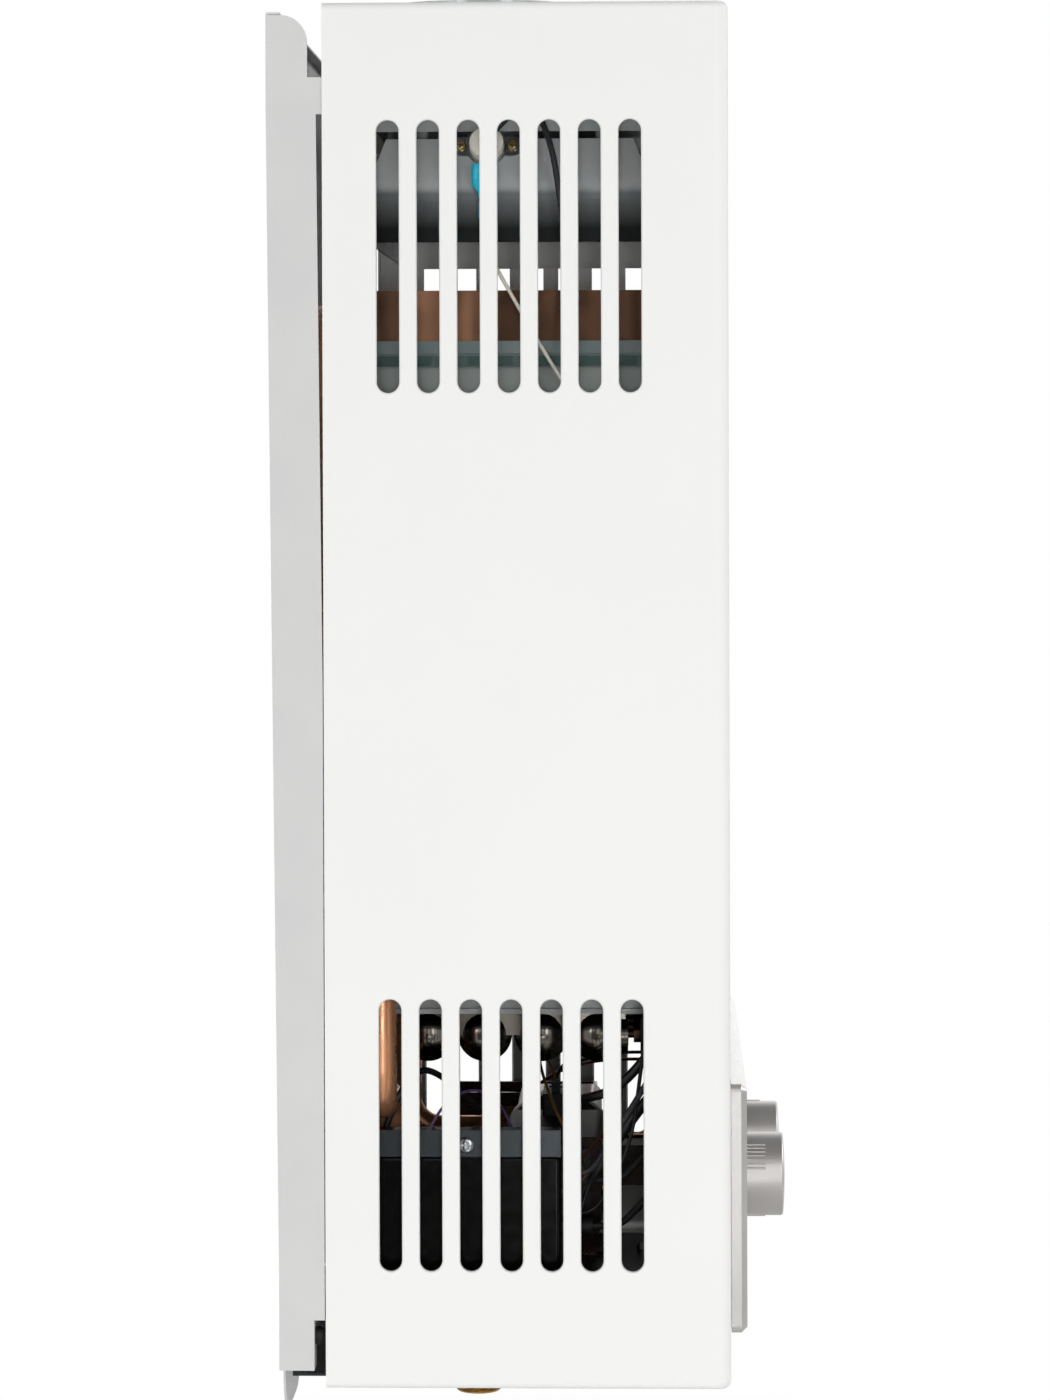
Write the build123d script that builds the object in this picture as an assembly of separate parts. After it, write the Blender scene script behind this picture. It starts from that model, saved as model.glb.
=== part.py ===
from build123d import *
import math
import os

os.makedirs("parts", exist_ok=True)

# Gas water heater, millimetres. X runs along the width, the front faces -Y and Z is up.
# The origin lies on the wall, midway between the two upper wall fixings.

# Case
case_width = 370.0
case_height = 590.0
case_depth = 172.5
case_sheet = 0.8
case_above_fixings = 25.0
wall_gap = 24.0
front_bend = 5.5
rim_bend = 3.4
rear_lip = 9.0

# Ventilation slots, the same in both sides
slot_width = 9.5
slot_length = 115.8
slot_pitch = 17.16
slot_count = 7
slot_first = 27.8
slot_margin = 50.2
slot_lip_wall = 0.8
slot_lip_depth = 1.4
slot_round = 1.0

# Openings in the case
flue_notch_clearance = 4.0
bottom_opening_width = 310.0
bottom_opening_depth = 128.0

# Back plate
plate_sheet = 1.0
plate_clearance = 0.6
plate_below_top = 3.9
plate_above_bottom = 7.5
plate_lean = 4.0
hanger_height = 42.0
top_lip_depth = 5.8
flange_drop = 1.2
flange_shoulder = 17.7
flange_shoulder_radius = 11.7
flange_neck_drop = 26.6
tongue_height = 15.7
tongue_reach = 6.0
flange_front_gap = 2.7
flange_waist_gap = 0.5
flange_waist_height = 290.0
buffer_step = 5.0
buffer_height_up = 21.5
buffer_tab = 12.0
wall_hole_radius = 4.0
wall_hole_spacing = 252.0
ear_width = 76.0
ear_drop = 17.0
ear_round = 20.0
ear_hole_drop = 6.0
buffer_radius = 3.8
buffer_gap = 0.1

# Bottom plate and engine brackets
bottom_sheet = 1.2
bottom_plate_gap = 0.2
bottom_plate_overlap = 9.0
bottom_plate_rear = 8.0
bracket_sheet = 1.5
bracket_width = 24.0

# Engine: hood, exchanger, chamber and burners share one footprint
engine_side_space = 45.0
engine_depth = 124.0
engine_behind_front = 32.5
engine_sheet = 1.0

# Flue
flue_radius = 55.0
flue_sheet = 0.8
flue_behind_rear = 62.0
flue_above_case = 14.4
flue_flange = 8.0
hood_rim_drop = 100.0
hood_skirt = 24.0
hood_facet = 21.5
hood_facet_inset = 8.0
hood_bend = 30.0
shield_inset = 12.0
shield_side_inset = 2.0
shield_lip = 8.0
shield_slit = 3.5
shield_sheet = 0.8
spacer_radius = 3.0

# Heat exchanger
core_drop = 121.0
core_height = 22.0
core_sheet = 1.2
fin_sheet = 0.4
fin_pitch = 6.0
fin_edge_gap = 0.5
water_tube_radius = 8.0
water_tube_wall = 0.8
water_tube_pitch = 30.0
water_tube_count = 8
water_tube_reach = 3.0
tube_fit = 0.02
pipe_radius = 6.35
pipe_wall = 0.8

# Combustion chamber
chamber_flange = 3.0
upper_flange_height = 5.5
flange_groove = 1.0
flange_groove_depth = 1.5
lower_flange_height = 4.5
chamber_above_bottom = 175.0

# Burners
burner_pitch = 22.0
burner_side_gap = 6.0
burner_above_bottom = 130.6
burner_top = 200.0
blade_thickness = 7.0
port_strip_width = 12.0
port_strip_height = 8.0
lobe_radius = 12.0
lobe_length = 15.0
lobe_count = 4
lobe_pitch = 25.0
mouth_radius = 8.0
burner_sheet = 0.8
port_pitch = 6.0
port_width = 1.6
port_length = 9.0
burner_frame_above_bottom = 154.5
burner_frame_wall = 1.2
burner_frame_grow = 2.0
burner_lip = 1.5
burner_lip_height = 2.2
burner_ledge = 6.0
burner_ledge_height = 160.0
ledge_sheet = 2.0
blade_end_gap = 2.0

# Gas manifold
manifold_size = 20.0
manifold_end_gap = 6.0
manifold_above_bottom = 133.0
manifold_bore = 7.0
manifold_behind_front = 18.5
nozzle_radius = 4.0
nozzle_tip_radius = 2.0
nozzle_tip_length = 2.5
nozzle_jet = 0.6
nozzle_head = 3.0
nozzle_stub = 2.4
neck_radius = 8.9
neck_bore = 6.0
tab_width = 16.0

# Controls
knob_radius = 18.8
knob_length = 18.5
knob_gap = 0.6
knob_spacing = 92.0
knob_above_bottom = 68.6
knob_edge = 1.3
knob_dome = 200.0
knob_wall = 2.5
knob_hollow = 13.0
knob_boss = 6.5
grip_ribs = 7
grip_rib_radius = 0.45
grip_length = 9.5
grip_arc = 36.0
grip_angles = (55.5, 175.5, 295.5)
gas_knob_rest = -90.0
water_knob_rest = -130.0
pointer_width = 1.6
pointer_length = 9.0
pointer_depth = 0.5
spindle_radius = 3.0
spindle_flat = 2.2
spindle_hole = 6.0
running_gap = 0.05
panel_width = 300.0
panel_low = 16.8
panel_high = 124.7
panel_stand = 7.6
panel_wall = 2.5
panel_chamfer = 2.5
panel_corner = 3.3
panel_shadow = 0.8
panel_rebate = 2.4
panel_boss = 4.5
panel_screw_inset = 20.0
window_width = 40.0
window_height = 22.0
window_lip = 2.0
window_lip_sheet = 1.2
window_gap = 0.2
window_above_knobs = 0.0
board_sheet = 1.4
board_gap = 0.3

# Valves, on one axis along X
valve_behind_front = 78.5
gas_left_of_knob = 34.0
gas_left = -knob_spacing / 2 - gas_left_of_knob
gas_right = -2.0
gas_half_depth = 22.0
gas_half_height = 22.0
gas_chamber_radius = 12.0
gas_chamber_left = -35.0
gas_seat_left = -23.0
gas_seat_right = -20.0
gas_seat_radius = 6.5
gas_inlet_x = -14.0
gas_inlet_bore = 5.5
gas_end_wall = 6.0
plug_radius = 9.0
plug_length = 30.0
plug_end_gap = 0.3
plug_bore = 4.0
passage_radius = 5.0
outlet_chamber_radius = 10.0
outlet_left_of_knob = 13.0
outlet_chamber_right = -knob_spacing / 2 - outlet_left_of_knob
outlet_arm_left_of_knob = 23.0
outlet_arm_x = -knob_spacing / 2 - outlet_arm_left_of_knob
outlet_arm_width = 18.0
outlet_arm_height = 18.0
outlet_arm_bore = 4.5
bonnet_radius = 11.5
bonnet_length = 6.0
bonnet_insert = 5.7
poppet_radius = 9.5
poppet_thickness = 3.0
push_rod_radius = 2.0
push_rod_travel = 3.5
collar_left = 4.6
collar_length = 2.0
collar_radius = 4.5
spring_wire = 0.6
spring_radius = 6.0
spring_turns = 5
coil_radius = 15.0
coil_length = 32.0
plunger_radius = 4.0
plunger_disc_radius = 8.0
plunger_disc = 2.8
plunger_travel = 2.5
plunger_seat_gap = 0.2
water_cover_left = 14.0
water_cover_length = 10.0
water_cover_wall = 3.0
diaphragm_sheet = 2.0
water_flange = 6.0
water_right = 92.0
water_half = 20.0
water_flange_radius = 27.0
water_cavity_radius = 19.0
water_bolt_circle = 23.0
water_bolts = 6
bolt_radius = 2.0
bolt_head_radius = 3.5
bolt_head_height = 2.8
bolt_gap = 0.05
rod_plate_radius = 14.0
rod_plate_thickness = 3.0
needle_radius = 7.0
needle_length = 28.0
water_inlet_x = 72.0
water_port_x = 80.0
water_bore = 6.0
water_chamber_right = 86.0
drain_radius = 5.0
drain_length = 12.0

# Connections: G1/2 male threads under the bottom plate
thread_radius = 10.48
thread_length = 15.0
stem_radius = 9.8
thread_drop = 16.0
connector_bore = 7.0
connector_hex = 13.5
connector_hex_height = 8.0
connector_hole_gap = 0.6
hot_outlet_gap = 23.0
filter_radius = 6.6
filter_wall = 0.5
filter_length = 16.0
filter_rim = 1.0
nut_radius = 11.0
nut_length = 12.0

# Microswitch and lever
switch_length = 20.0
switch_height = 10.0
switch_depth = 12.0
switch_ear = 2.0
lever_pivot_x = 4.0
lever_pivot_up = 30.0
lever_sheet = 0.8
lever_width = 7.0
lever_slot = 4.6
lever_tail = 4.0
lever_eye = 2.4
pin_radius = 1.0

# Ignition controller on its bracket, at the left
controller_side_gap = 13.2
controller_width = 36.0
controller_front_drop = 100.0
controller_rear_drop = 14.0
controller_low = 33.0
controller_high = 97.0
controller_round = 2.0
band_height = 10.2
shelf_width = 8.0
band_sheet = 1.2
band_screw_back = 59.8
controller_tab = 16.0

# Battery box at the right, open below
battery_radius = 16.6
battery_length = 59.0
battery_nub_radius = 5.0
battery_nub = 1.5
battery_gap = 0.4
battery_inset = 27.0
battery_rear_drop = 38.0
battery_wall = 2.0
battery_pitch = 35.0
battery_well = 17.0
door_sheet = 2.2
door_gap = 0.3
door_margin = 2.0
hinge_radius = 2.5
hinge_drop = 2.5
contact_sheet = 0.6

# Small screws
screw_radius = 1.5
screw_head_radius = 3.4
screw_head_height = 2.2
screw_gap = 0.1

# Thermostat on the hood
thermostat_radius = 7.6
thermostat_rim_radius = 9.1
thermostat_body = 6.0
thermostat_rim = 0.8
thermostat_ear = 16.0
thermostat_ear_width = 9.0
thermostat_screw_span = 23.0
thermostat_screw_head = 2.3
thermostat_back = 68.0
thermostat_drop = 58.2
sleeve_width = 7.0
sleeve_thickness = 3.6
sleeve_length = 24.0

# Electrodes
electrode_height = 205.0
spark_x = 30.0
sensor_x = 62.0
ceramic_radius = 3.5
ceramic_length = 26.0
needle_wire = 1.2
needle_reach = 22.0
electrode_hole = 5.0
electrode_plate = 1.2
needle_tail = 4.0
boot_radius = 4.0
boot_length = 13.0

case_top = case_above_fixings
case_bottom = case_top - case_height
case_rear = -wall_gap
case_front = case_rear - case_depth
case_side = case_width / 2
case_inside = case_side - case_sheet
flue_y = case_rear - flue_behind_rear
engine_front = case_front + engine_behind_front
engine_rear = engine_front + engine_depth
engine_width = case_width - 2 * engine_side_space
engine_side = engine_width / 2
burner_count = int((engine_width - 2 * burner_side_gap) / burner_pitch)
manifold_width = engine_width - 2 * manifold_end_gap
controller_left = -case_inside + controller_side_gap
controller_right = controller_left + controller_width
hot_outlet_x = controller_right + hot_outlet_gap
battery_x = bottom_opening_width / 2 - battery_inset
engine_mid = (engine_front + engine_rear) / 2
core_top = case_top - core_drop
core_bottom = core_top - core_height
core_mid = (core_top + core_bottom) / 2
hood_rim = case_top - hood_rim_drop
hood_skirt_top = hood_rim + hood_skirt
hood_top = hood_skirt_top + hood_facet
chamber_bottom = case_bottom + chamber_above_bottom
panel_front = case_front - panel_stand
digit_block = panel_stand - panel_wall - window_lip_sheet - board_sheet - 2 * board_gap
knob_z = case_bottom + knob_above_bottom
knob_back = panel_front - knob_gap
knob_front = knob_back - knob_length
gas_x = -knob_spacing / 2
water_x = knob_spacing / 2
valve_y = case_front + valve_behind_front
gas_front = valve_y - gas_half_depth
water_front = valve_y - water_half
water_cover_right = water_cover_left + water_cover_length
diaphragm_right = water_cover_right + diaphragm_sheet
bottom_plate_low = case_bottom + case_sheet + bottom_plate_gap
bottom_plate_top = bottom_plate_low + bottom_sheet
thread_end = case_bottom - thread_drop


def block(x, y, z):
    """Box between two limits on each axis."""
    centre = [(low + high) / 2 for low, high in (x, y, z)]
    return Pos(*centre) * Box(*[abs(high - low) for low, high in (x, y, z)])


def rod(start, direction, length, radius):
    """Cylinder from a point along a direction."""
    return extrude(Plane(origin=start, z_dir=direction) * Circle(radius), length)


def ring(start, direction, length, outer, inner):
    """Hollow cylinder from a point along a direction."""
    return rod(start, direction, length, outer) - rod(start, direction, length, inner)


def hexagon(start, direction, length, across_corners):
    """Hexagonal prism from a point along a direction."""
    return extrude(Plane(origin=start, z_dir=direction) * RegularPolygon(across_corners, 6), length)


def bent_tube(points, radii, outer, wall=0.0):
    """Round tube along straight runs joined by tangent arcs."""
    path = FilletPolyline(*points, radius=radii)
    start = Plane(origin=path @ 0, z_dir=path % 0)
    tube = sweep(start * Circle(outer), path=path)
    if wall:
        tube -= sweep(start * Circle(outer - wall), path=path)
    return tube


def cord(name, points, diameter):
    """Flexible lead: each arc is as large as the shorter of its two runs allows."""
    corners = [Vector(*point) for point in points]
    radii = []
    for before, corner, after in zip(corners, corners[1:], corners[2:]):
        turn = math.radians((corner - before).get_angle(after - corner))
        shorter = min((corner - before).length, (after - corner).length)
        radii.append(0.45 * shorter / math.tan(turn / 2))
    path = FilletPolyline(*points, radius=radii)
    lead = sweep(Plane(origin=path @ 0, z_dir=path % 0) * Circle(diameter / 2), path=path)
    expected = math.pi * diameter**2 / 4 * path.length
    print(name, "length", round(path.length), "radii", [round(r) for r in radii],
          "volume share", round(lead.volume / expected, 4))
    return lead


def save(node, *shapes):
    """Write one node, as separate solids where it holds several."""
    solids = [solid for shape in shapes for solid in shape.solids()]
    whole = solids[0] if len(solids) == 1 else Compound(solids)
    export_step(whole, f"parts/{node}.step")


def screw(seat, direction, length, head_radius=screw_head_radius):
    """Pan-head self-tapping screw whose head sits on the seat and whose shank runs on."""
    back = tuple(-value for value in direction)
    head = rod(seat, back, screw_head_height, head_radius)
    rim = head.edges().filter_by(GeomType.CIRCLE).sort_by_distance(seat)[-1]
    return rod(seat, direction, length, screw_radius) + fillet(rim, screw_head_height * 0.4)


def case_form(inset, rear):
    """The case's rounded form, inset evenly from its outside."""
    form = block(
        (-case_side + inset, case_side - inset),
        (case_front + inset, rear),
        (case_bottom + inset, case_top - inset),
    )
    form = fillet(form.edges().filter_by(Axis.Z).group_by(Axis.Y)[0], front_bend - inset)
    for group in (0, -1):
        rim = form.edges().group_by(Axis.Z)[group].filter_by(lambda edge: edge.center().Y < rear - 1)
        form = fillet(rim, rim_bend - inset)
    return form


def slot_centres():
    """Slot positions along Y and Z, upper and lower groups."""
    for group_z in (case_top - slot_margin - slot_length / 2, case_bottom + slot_margin + slot_length / 2):
        for index in range(slot_count):
            yield case_rear - slot_first - index * slot_pitch, group_z


def slot_prism(y, z, grow, x_from, x_to):
    """Round-ended upright slot as a solid between two X planes."""
    face = Plane.YZ.offset(x_from) * Pos(y, z) * SlotOverall(slot_length + 2 * grow, slot_width + 2 * grow,
                                                            rotation=90)
    return extrude(face, x_to - x_from)


def front_case():
    """Enamelled box with slots, an open rear, a flue notch and a bottom opening."""
    case = case_form(0, case_rear) - case_form(case_sheet, case_rear + case_sheet)
    tongue_top = case_top - plate_below_top - flange_drop - flange_neck_drop
    for side in (-1, 1):
        lip_x = sorted((side * case_inside, side * (case_inside - rear_lip)))
        lip = block(lip_x, (case_rear - case_sheet, case_rear),
                    (case_bottom + rear_lip, case_top - rear_lip))
        lip -= block(lip_x, (case_rear - case_sheet, case_rear),
                     (tongue_top - tongue_height - plate_sheet, tongue_top + plate_sheet))
        case += lip
        for y, z in slot_centres():
            inner = side * (case_inside - slot_lip_depth)
            case += slot_prism(y, z, slot_lip_wall, inner, side * case_inside)
    case -= [slot_prism(y, z, 0, -case_side, case_side) for y, z in slot_centres()]
    span = (slot_count + 1) * slot_pitch
    reach = slot_margin + slot_length
    rims = case.edges().filter_by(
        lambda edge: abs(abs(edge.center().X) - case_side) < 0.01
        and case_rear - slot_first - span < edge.center().Y < case_rear - slot_first + slot_pitch
        and slot_margin - 1 < (case_height / 2 - abs(edge.center().Z - (case_top + case_bottom) / 2)) < reach + 1
    )
    case = fillet(rims, slot_round)
    notch = flue_radius + flue_notch_clearance
    sheet_top = (case_top - 2 * case_sheet, case_top + case_sheet)
    case -= rod((0, flue_y, sheet_top[0]), (0, 0, 1), 3 * case_sheet, notch)
    case -= block((-notch, notch), (flue_y, case_rear + case_sheet), sheet_top)
    half = bottom_opening_width / 2
    case -= block((-half, half), (case_rear - bottom_opening_depth, case_rear + case_sheet),
                  (case_bottom - case_sheet, case_bottom + 2 * case_sheet))
    outside = case_front - case_sheet
    for x in (gas_x, water_x):
        case -= rod((x, outside, knob_z), (0, 1, 0), 3 * case_sheet, spindle_hole)
    window_z = knob_z + window_above_knobs
    case -= block((-window_width / 2, window_width / 2), (outside, case_front + 2 * case_sheet),
                  (window_z - window_height / 2, window_z + window_height / 2))
    for x, z in panel_screw_places():
        case -= rod((x, outside, z), (0, 1, 0), 3 * case_sheet, screw_radius + screw_gap)
    for x in (-case_screw_x, case_screw_x):
        case -= rod((x, case_screw_y, case_bottom - case_sheet), (0, 0, 1), 3 * case_sheet,
                    screw_radius + screw_gap)
    return case


def panel_screw_places():
    """Four screws that hold the control panel from inside."""
    low = case_bottom + panel_low + panel_screw_inset
    high = case_bottom + panel_high - panel_screw_inset
    side = panel_width / 2 - panel_screw_inset
    return [(x, z) for x in (-side, side) for z in (low, high)]


case_screw_x = 120.0
case_screw_y = case_rear - bottom_opening_depth - bottom_plate_overlap / 2


def back_plate():
    """Wall plate: leaning web, deep side flanges, top lip and lower ears."""
    top = case_top - plate_below_top
    low = case_bottom + plate_above_bottom
    hanger_low = top - hanger_height
    side = case_inside - plate_clearance
    web_line = [(0, top), (0, hanger_low), (-plate_lean, low + hanger_height), (-plate_lean, low)]
    front_line = [(y - plate_sheet, z) for y, z in reversed(web_line)]
    web = extrude(Plane.YZ.offset(-side) * make_face(Polyline(*web_line, *front_line, close=True)), 2 * side)
    plate = web + block((-side, side), (-top_lip_depth, 0), (top - plate_sheet, top))
    shoulder_z = top - flange_drop
    arc_y = -flange_shoulder + flange_shoulder_radius
    neck_z = shoulder_z - flange_neck_drop
    tongue_low = neck_z - tongue_height
    waist_z = low + flange_waist_height
    step_z = low + buffer_height_up
    buffer_y = case_rear + buffer_step
    outline = [
        Line((0, shoulder_z), (arc_y, shoulder_z)),
        RadiusArc((arc_y, shoulder_z), (-flange_shoulder, shoulder_z - flange_shoulder_radius),
                  -flange_shoulder_radius),
        Polyline(
            (-flange_shoulder, shoulder_z - flange_shoulder_radius),
            (-flange_shoulder, neck_z),
            (case_rear - tongue_reach, neck_z),
            (case_rear - tongue_reach, tongue_low),
            (case_rear + flange_front_gap, tongue_low),
            (case_rear + flange_waist_gap, waist_z),
            (case_rear + flange_waist_gap, step_z),
            (buffer_y, step_z),
            (buffer_y, low),
            (-plate_lean, low),
            (-plate_lean, low + hanger_height),
            (0, hanger_low),
            (0, shoulder_z),
        ),
    ]
    flange = make_face(Wire([edge for part in outline for edge in part.edges()]))
    for edge_x in (-side, side - plate_sheet):
        plate += extrude(Plane.YZ.offset(edge_x) * flange, plate_sheet)
    for hand in (-1, 1):
        tab_x = sorted((hand * side, hand * (side - buffer_tab)))
        plate += block(tab_x, (buffer_y, buffer_y + plate_sheet), (low, step_z))
    ear_low = case_bottom - ear_drop
    ear_high = low + ear_round
    ear = Pos(0, (ear_low + ear_high) / 2) * RectangleRounded(ear_width, ear_high - ear_low, ear_round)
    for x in (-wall_hole_spacing / 2, wall_hole_spacing / 2):
        drop = extrude(Plane.XZ.offset(plate_lean) * Pos(x, 0) * ear, plate_sheet)
        plate += drop & block((-side, side), (-wall_gap, 0), (ear_low, low + 1))
        plate -= rod((x, -wall_gap / 2, case_bottom - ear_hole_drop), (0, 1, 0), wall_gap, wall_hole_radius)
        plate -= rod((x, -wall_gap / 2, 0), (0, 1, 0), wall_gap, wall_hole_radius)
    bend = plate.edges().filter_by(Axis.X).filter_by(
        lambda edge: abs(edge.center().Y) < 0.01 and abs(edge.center().Z - top) < 0.01)
    return fillet(bend, plate_sheet * 0.9)


def case_buffers():
    """Rubber domes on the back plate's tabs, on which the case's rear lip rests."""
    low = case_bottom + plate_above_bottom
    seat = case_rear + buffer_step
    height = buffer_step - buffer_gap
    domes = []
    for hand in (-1, 1):
        x = hand * (case_inside - plate_clearance - buffer_tab / 2 - 1)
        dome = rod((x, seat, low + buffer_height_up / 2 + 3), (0, -1, 0), height, buffer_radius)
        domes.append(fillet(dome.edges().group_by(Axis.Y)[0], buffer_radius * 0.8))
    return domes


def engine_brackets():
    """Four Z-shaped brackets that carry the engine on the back plate."""
    brackets = []
    for x in (-engine_side / 2, engine_side / 2):
        for z, toward in ((core_bottom - 40, -1), (chamber_bottom + 30, 1)):
            web_y = web_front_at(z)
            pieces = block((x, x + bracket_sheet), (engine_rear, web_y), (z, z + bracket_width))
            foot = block((x, x + bracket_width), (web_y - bracket_sheet, web_y), (z, z + bracket_width))
            head = block((x, x + bracket_width), (engine_rear, engine_rear + bracket_sheet),
                         (z, z + bracket_width))
            brackets.append(pieces + foot + head)
    return brackets


def web_front_at(z):
    """Foremost Y of the back plate's web over a bracket that starts at this height."""
    top = case_top - plate_below_top - hanger_height
    low = case_bottom + plate_above_bottom + hanger_height
    share = min(max((top - z) / (top - low), 0), 1)
    return -plate_lean * share - plate_sheet


def bottom_plate():
    """Sheet across the bottom opening, with the holes for the connections and the cells."""
    half = bottom_opening_width / 2 + bottom_plate_overlap
    front = case_rear - bottom_opening_depth - bottom_plate_overlap
    plate = block((-half, half), (front, -bottom_plate_rear), (bottom_plate_low, bottom_plate_top))
    plate += block((-half, half), (-bottom_plate_rear - bottom_sheet, -bottom_plate_rear),
                   (bottom_plate_low, bottom_plate_top + bracket_width / 2))
    for x, y in connector_places():
        plate -= rod((x, y, bottom_plate_low - 1), (0, 0, 1), 4, thread_radius + connector_hole_gap)
    x_low, x_high, y_low, y_high = battery_limits()
    plate -= block((x_low - 4, x_high + 4), (y_low - 2.5, y_high + 10), (bottom_plate_low - 1, bottom_plate_top + 1))
    for x in (-case_screw_x, case_screw_x):
        plate -= rod((x, case_screw_y, bottom_plate_low - 1), (0, 0, 1), 4, screw_radius + screw_gap / 2)
    return plate


def connector_places():
    """Hot outlet, gas inlet and cold inlet, left to right."""
    return (hot_outlet_x, flue_y), (gas_inlet_x, valve_y), (water_inlet_x, valve_y)


def flue_collar():
    """Round spigot with a foot flange and a stop bead."""
    top = case_top + flue_above_case
    collar = ring((0, flue_y, hood_top), (0, 0, 1), top - hood_top, flue_radius, flue_radius - flue_sheet)
    collar += ring((0, flue_y, hood_top), (0, 0, 1), engine_sheet, flue_radius + flue_flange, flue_radius - 1)
    bead = Pos(0, flue_y, case_top + 1.5) * Torus(flue_radius - flue_sheet / 2, 1.2)
    return collar + (bead - rod((0, flue_y, case_top - 1), (0, 0, 1), 5, flue_radius - flue_sheet))


def hood_profile(width, inset):
    """Upright outline of the hood, inset evenly: skirt, rounded bend, leaning facet and flat top."""
    side = width / 2 - inset
    low = hood_rim - (1 if inset else 0)
    top = hood_top - inset
    face = make_face(Polyline(
        (-side, low), (side, low), (side, hood_skirt_top), (side - hood_facet_inset, top),
        (hood_facet_inset - side, top), (-side, hood_skirt_top), close=True,
    ))
    bends = face.vertices().filter_by(lambda corner: abs(corner.Y - hood_skirt_top) < 0.01)
    return fillet(bends, hood_bend - inset)


def hood_outer(inset):
    """Solid form of the hood, inset evenly: the outline across the width and the one across the depth."""
    across = extrude(Plane.XZ.offset(-engine_front) * hood_profile(engine_width, inset), -engine_depth)
    along = extrude(Plane((0, engine_mid, 0), x_dir=(0, 1, 0), z_dir=(1, 0, 0)) * hood_profile(engine_depth, inset),
                    engine_side, both=True)
    return across & along


def flue_hood():
    """Draught hood over the exchanger, on four legs that stand on the exchanger's rim."""
    hood = hood_outer(0) - hood_outer(engine_sheet)
    hood -= rod((0, flue_y, hood_top - 5), (0, 0, 1), 10, flue_radius - flue_sheet)
    for x in (-engine_side, engine_side - 12):
        for y in (engine_front, engine_rear - engine_sheet):
            hood += block((x, x + 12), (y, y + engine_sheet), (core_top, hood_rim))
    plane = thermostat_plane()
    for reach in (-thermostat_screw_span / 2, thermostat_screw_span / 2):
        hood -= extrude(plane * Pos(reach, 0) * Circle(screw_radius + screw_gap / 2), -4)
    return hood


def thermostat_plane():
    """Plane on the near facet of the hood: X along Y of the heater, normal outward."""
    lean = math.atan2(hood_facet_inset, hood_facet)
    z = case_top - thermostat_drop
    x = -engine_side + (z - hood_skirt_top) * math.tan(lean)
    return Plane(origin=(x, case_rear - thermostat_back, z), x_dir=(0, -1, 0),
                 z_dir=(-math.cos(lean), 0, math.sin(lean)))


def overheat_thermostat():
    """Ceramic disc thermostat in a metal rim with two ears."""
    plane = thermostat_plane()
    ears = extrude(plane * SlotOverall(2 * thermostat_ear, thermostat_ear_width), thermostat_rim)
    body = ears + extrude(plane * Circle(thermostat_rim_radius), thermostat_rim * 2)
    body += extrude(plane * Circle(thermostat_radius), thermostat_body)
    for reach in (-thermostat_screw_span / 2, thermostat_screw_span / 2):
        body -= extrude(plane * Pos(reach, 0) * Circle(screw_radius + screw_gap), 2)
    blades = Pos(0, -3.2) * Rectangle(5.0, 5.0)
    return body + extrude(plane.offset(thermostat_body) * blades, 1.2)


def terminal_sleeve():
    """Insulating sleeve that hangs from the thermostat's lower terminal."""
    x = thermostat_plane().origin.X - thermostat_body - 3.8
    y = case_rear - thermostat_back + 2.0
    top = case_top - thermostat_drop - 8.0
    sleeve = block((x - sleeve_thickness / 2, x + sleeve_thickness / 2),
                   (y - sleeve_width / 2, y + sleeve_width / 2), (top - sleeve_length, top))
    return fillet(sleeve.edges().filter_by(Axis.Z), sleeve_thickness * 0.4)


def heat_shield():
    """Tray over the hood that keeps the heat off the case, on four spacers."""
    low = hood_top + shield_slit
    top = low + shield_lip
    x = engine_side - shield_inset
    y = (engine_front + shield_side_inset, engine_rear - shield_side_inset)
    tray = block((-x, x), y, (low, top))
    tray -= block((-x + shield_sheet, x - shield_sheet), (y[0] + shield_sheet, y[1] - shield_sheet),
                  (low - 1, top - shield_sheet))
    tray -= rod((0, flue_y, low), (0, 0, 1), shield_lip + 1, flue_radius + 2 * shield_sheet)
    for side in (-1, 1):
        for back in (-1, 1):
            place = (side * (x - 24), engine_mid + back * (engine_depth / 2 - 22), hood_top)
            tray += rod(place, (0, 0, 1), top - hood_top - shield_sheet, spacer_radius)
    return tray


def tube_places():
    """X positions of the exchanger's water tubes."""
    first = -water_tube_pitch * (water_tube_count - 1) / 2
    return [first + index * water_tube_pitch for index in range(water_tube_count)]


def exchanger_shell():
    """Copper frame round the fins, open above and below."""
    shell = block((-engine_side, engine_side), (engine_front, engine_rear), (core_bottom, core_top))
    shell -= block((-engine_side + core_sheet, engine_side - core_sheet),
                   (engine_front + core_sheet, engine_rear - core_sheet), (core_bottom - 1, core_top + 1))
    bores = [rod((x, engine_front - 1, core_mid), (0, 1, 0), engine_depth + 2, water_tube_radius + tube_fit)
             for x in tube_places()]
    return shell - bores


def exchanger_fins():
    """Stack of copper fins on the water tubes."""
    inner = engine_side - core_sheet - fin_edge_gap
    bores = [rod((x, engine_front, core_mid), (0, 1, 0), engine_depth, water_tube_radius + tube_fit)
             for x in tube_places()]
    count = int((engine_depth - 2 * core_sheet - fin_pitch) / fin_pitch)
    first = engine_mid - fin_pitch * (count - 1) / 2
    fin = block((-inner, inner), (first, first + fin_sheet), (core_bottom + fin_edge_gap, core_top - fin_edge_gap))
    fin -= bores
    return [Pos(0, index * fin_pitch, 0) * fin for index in range(count)]


def exchanger_tubes():
    """Straight water tubes through the fins."""
    start = engine_front - water_tube_reach
    length = engine_depth + 2 * water_tube_reach
    return [ring((x, start, core_mid), (0, 1, 0), length, water_tube_radius, water_tube_radius - water_tube_wall)
            for x in tube_places()]


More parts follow.
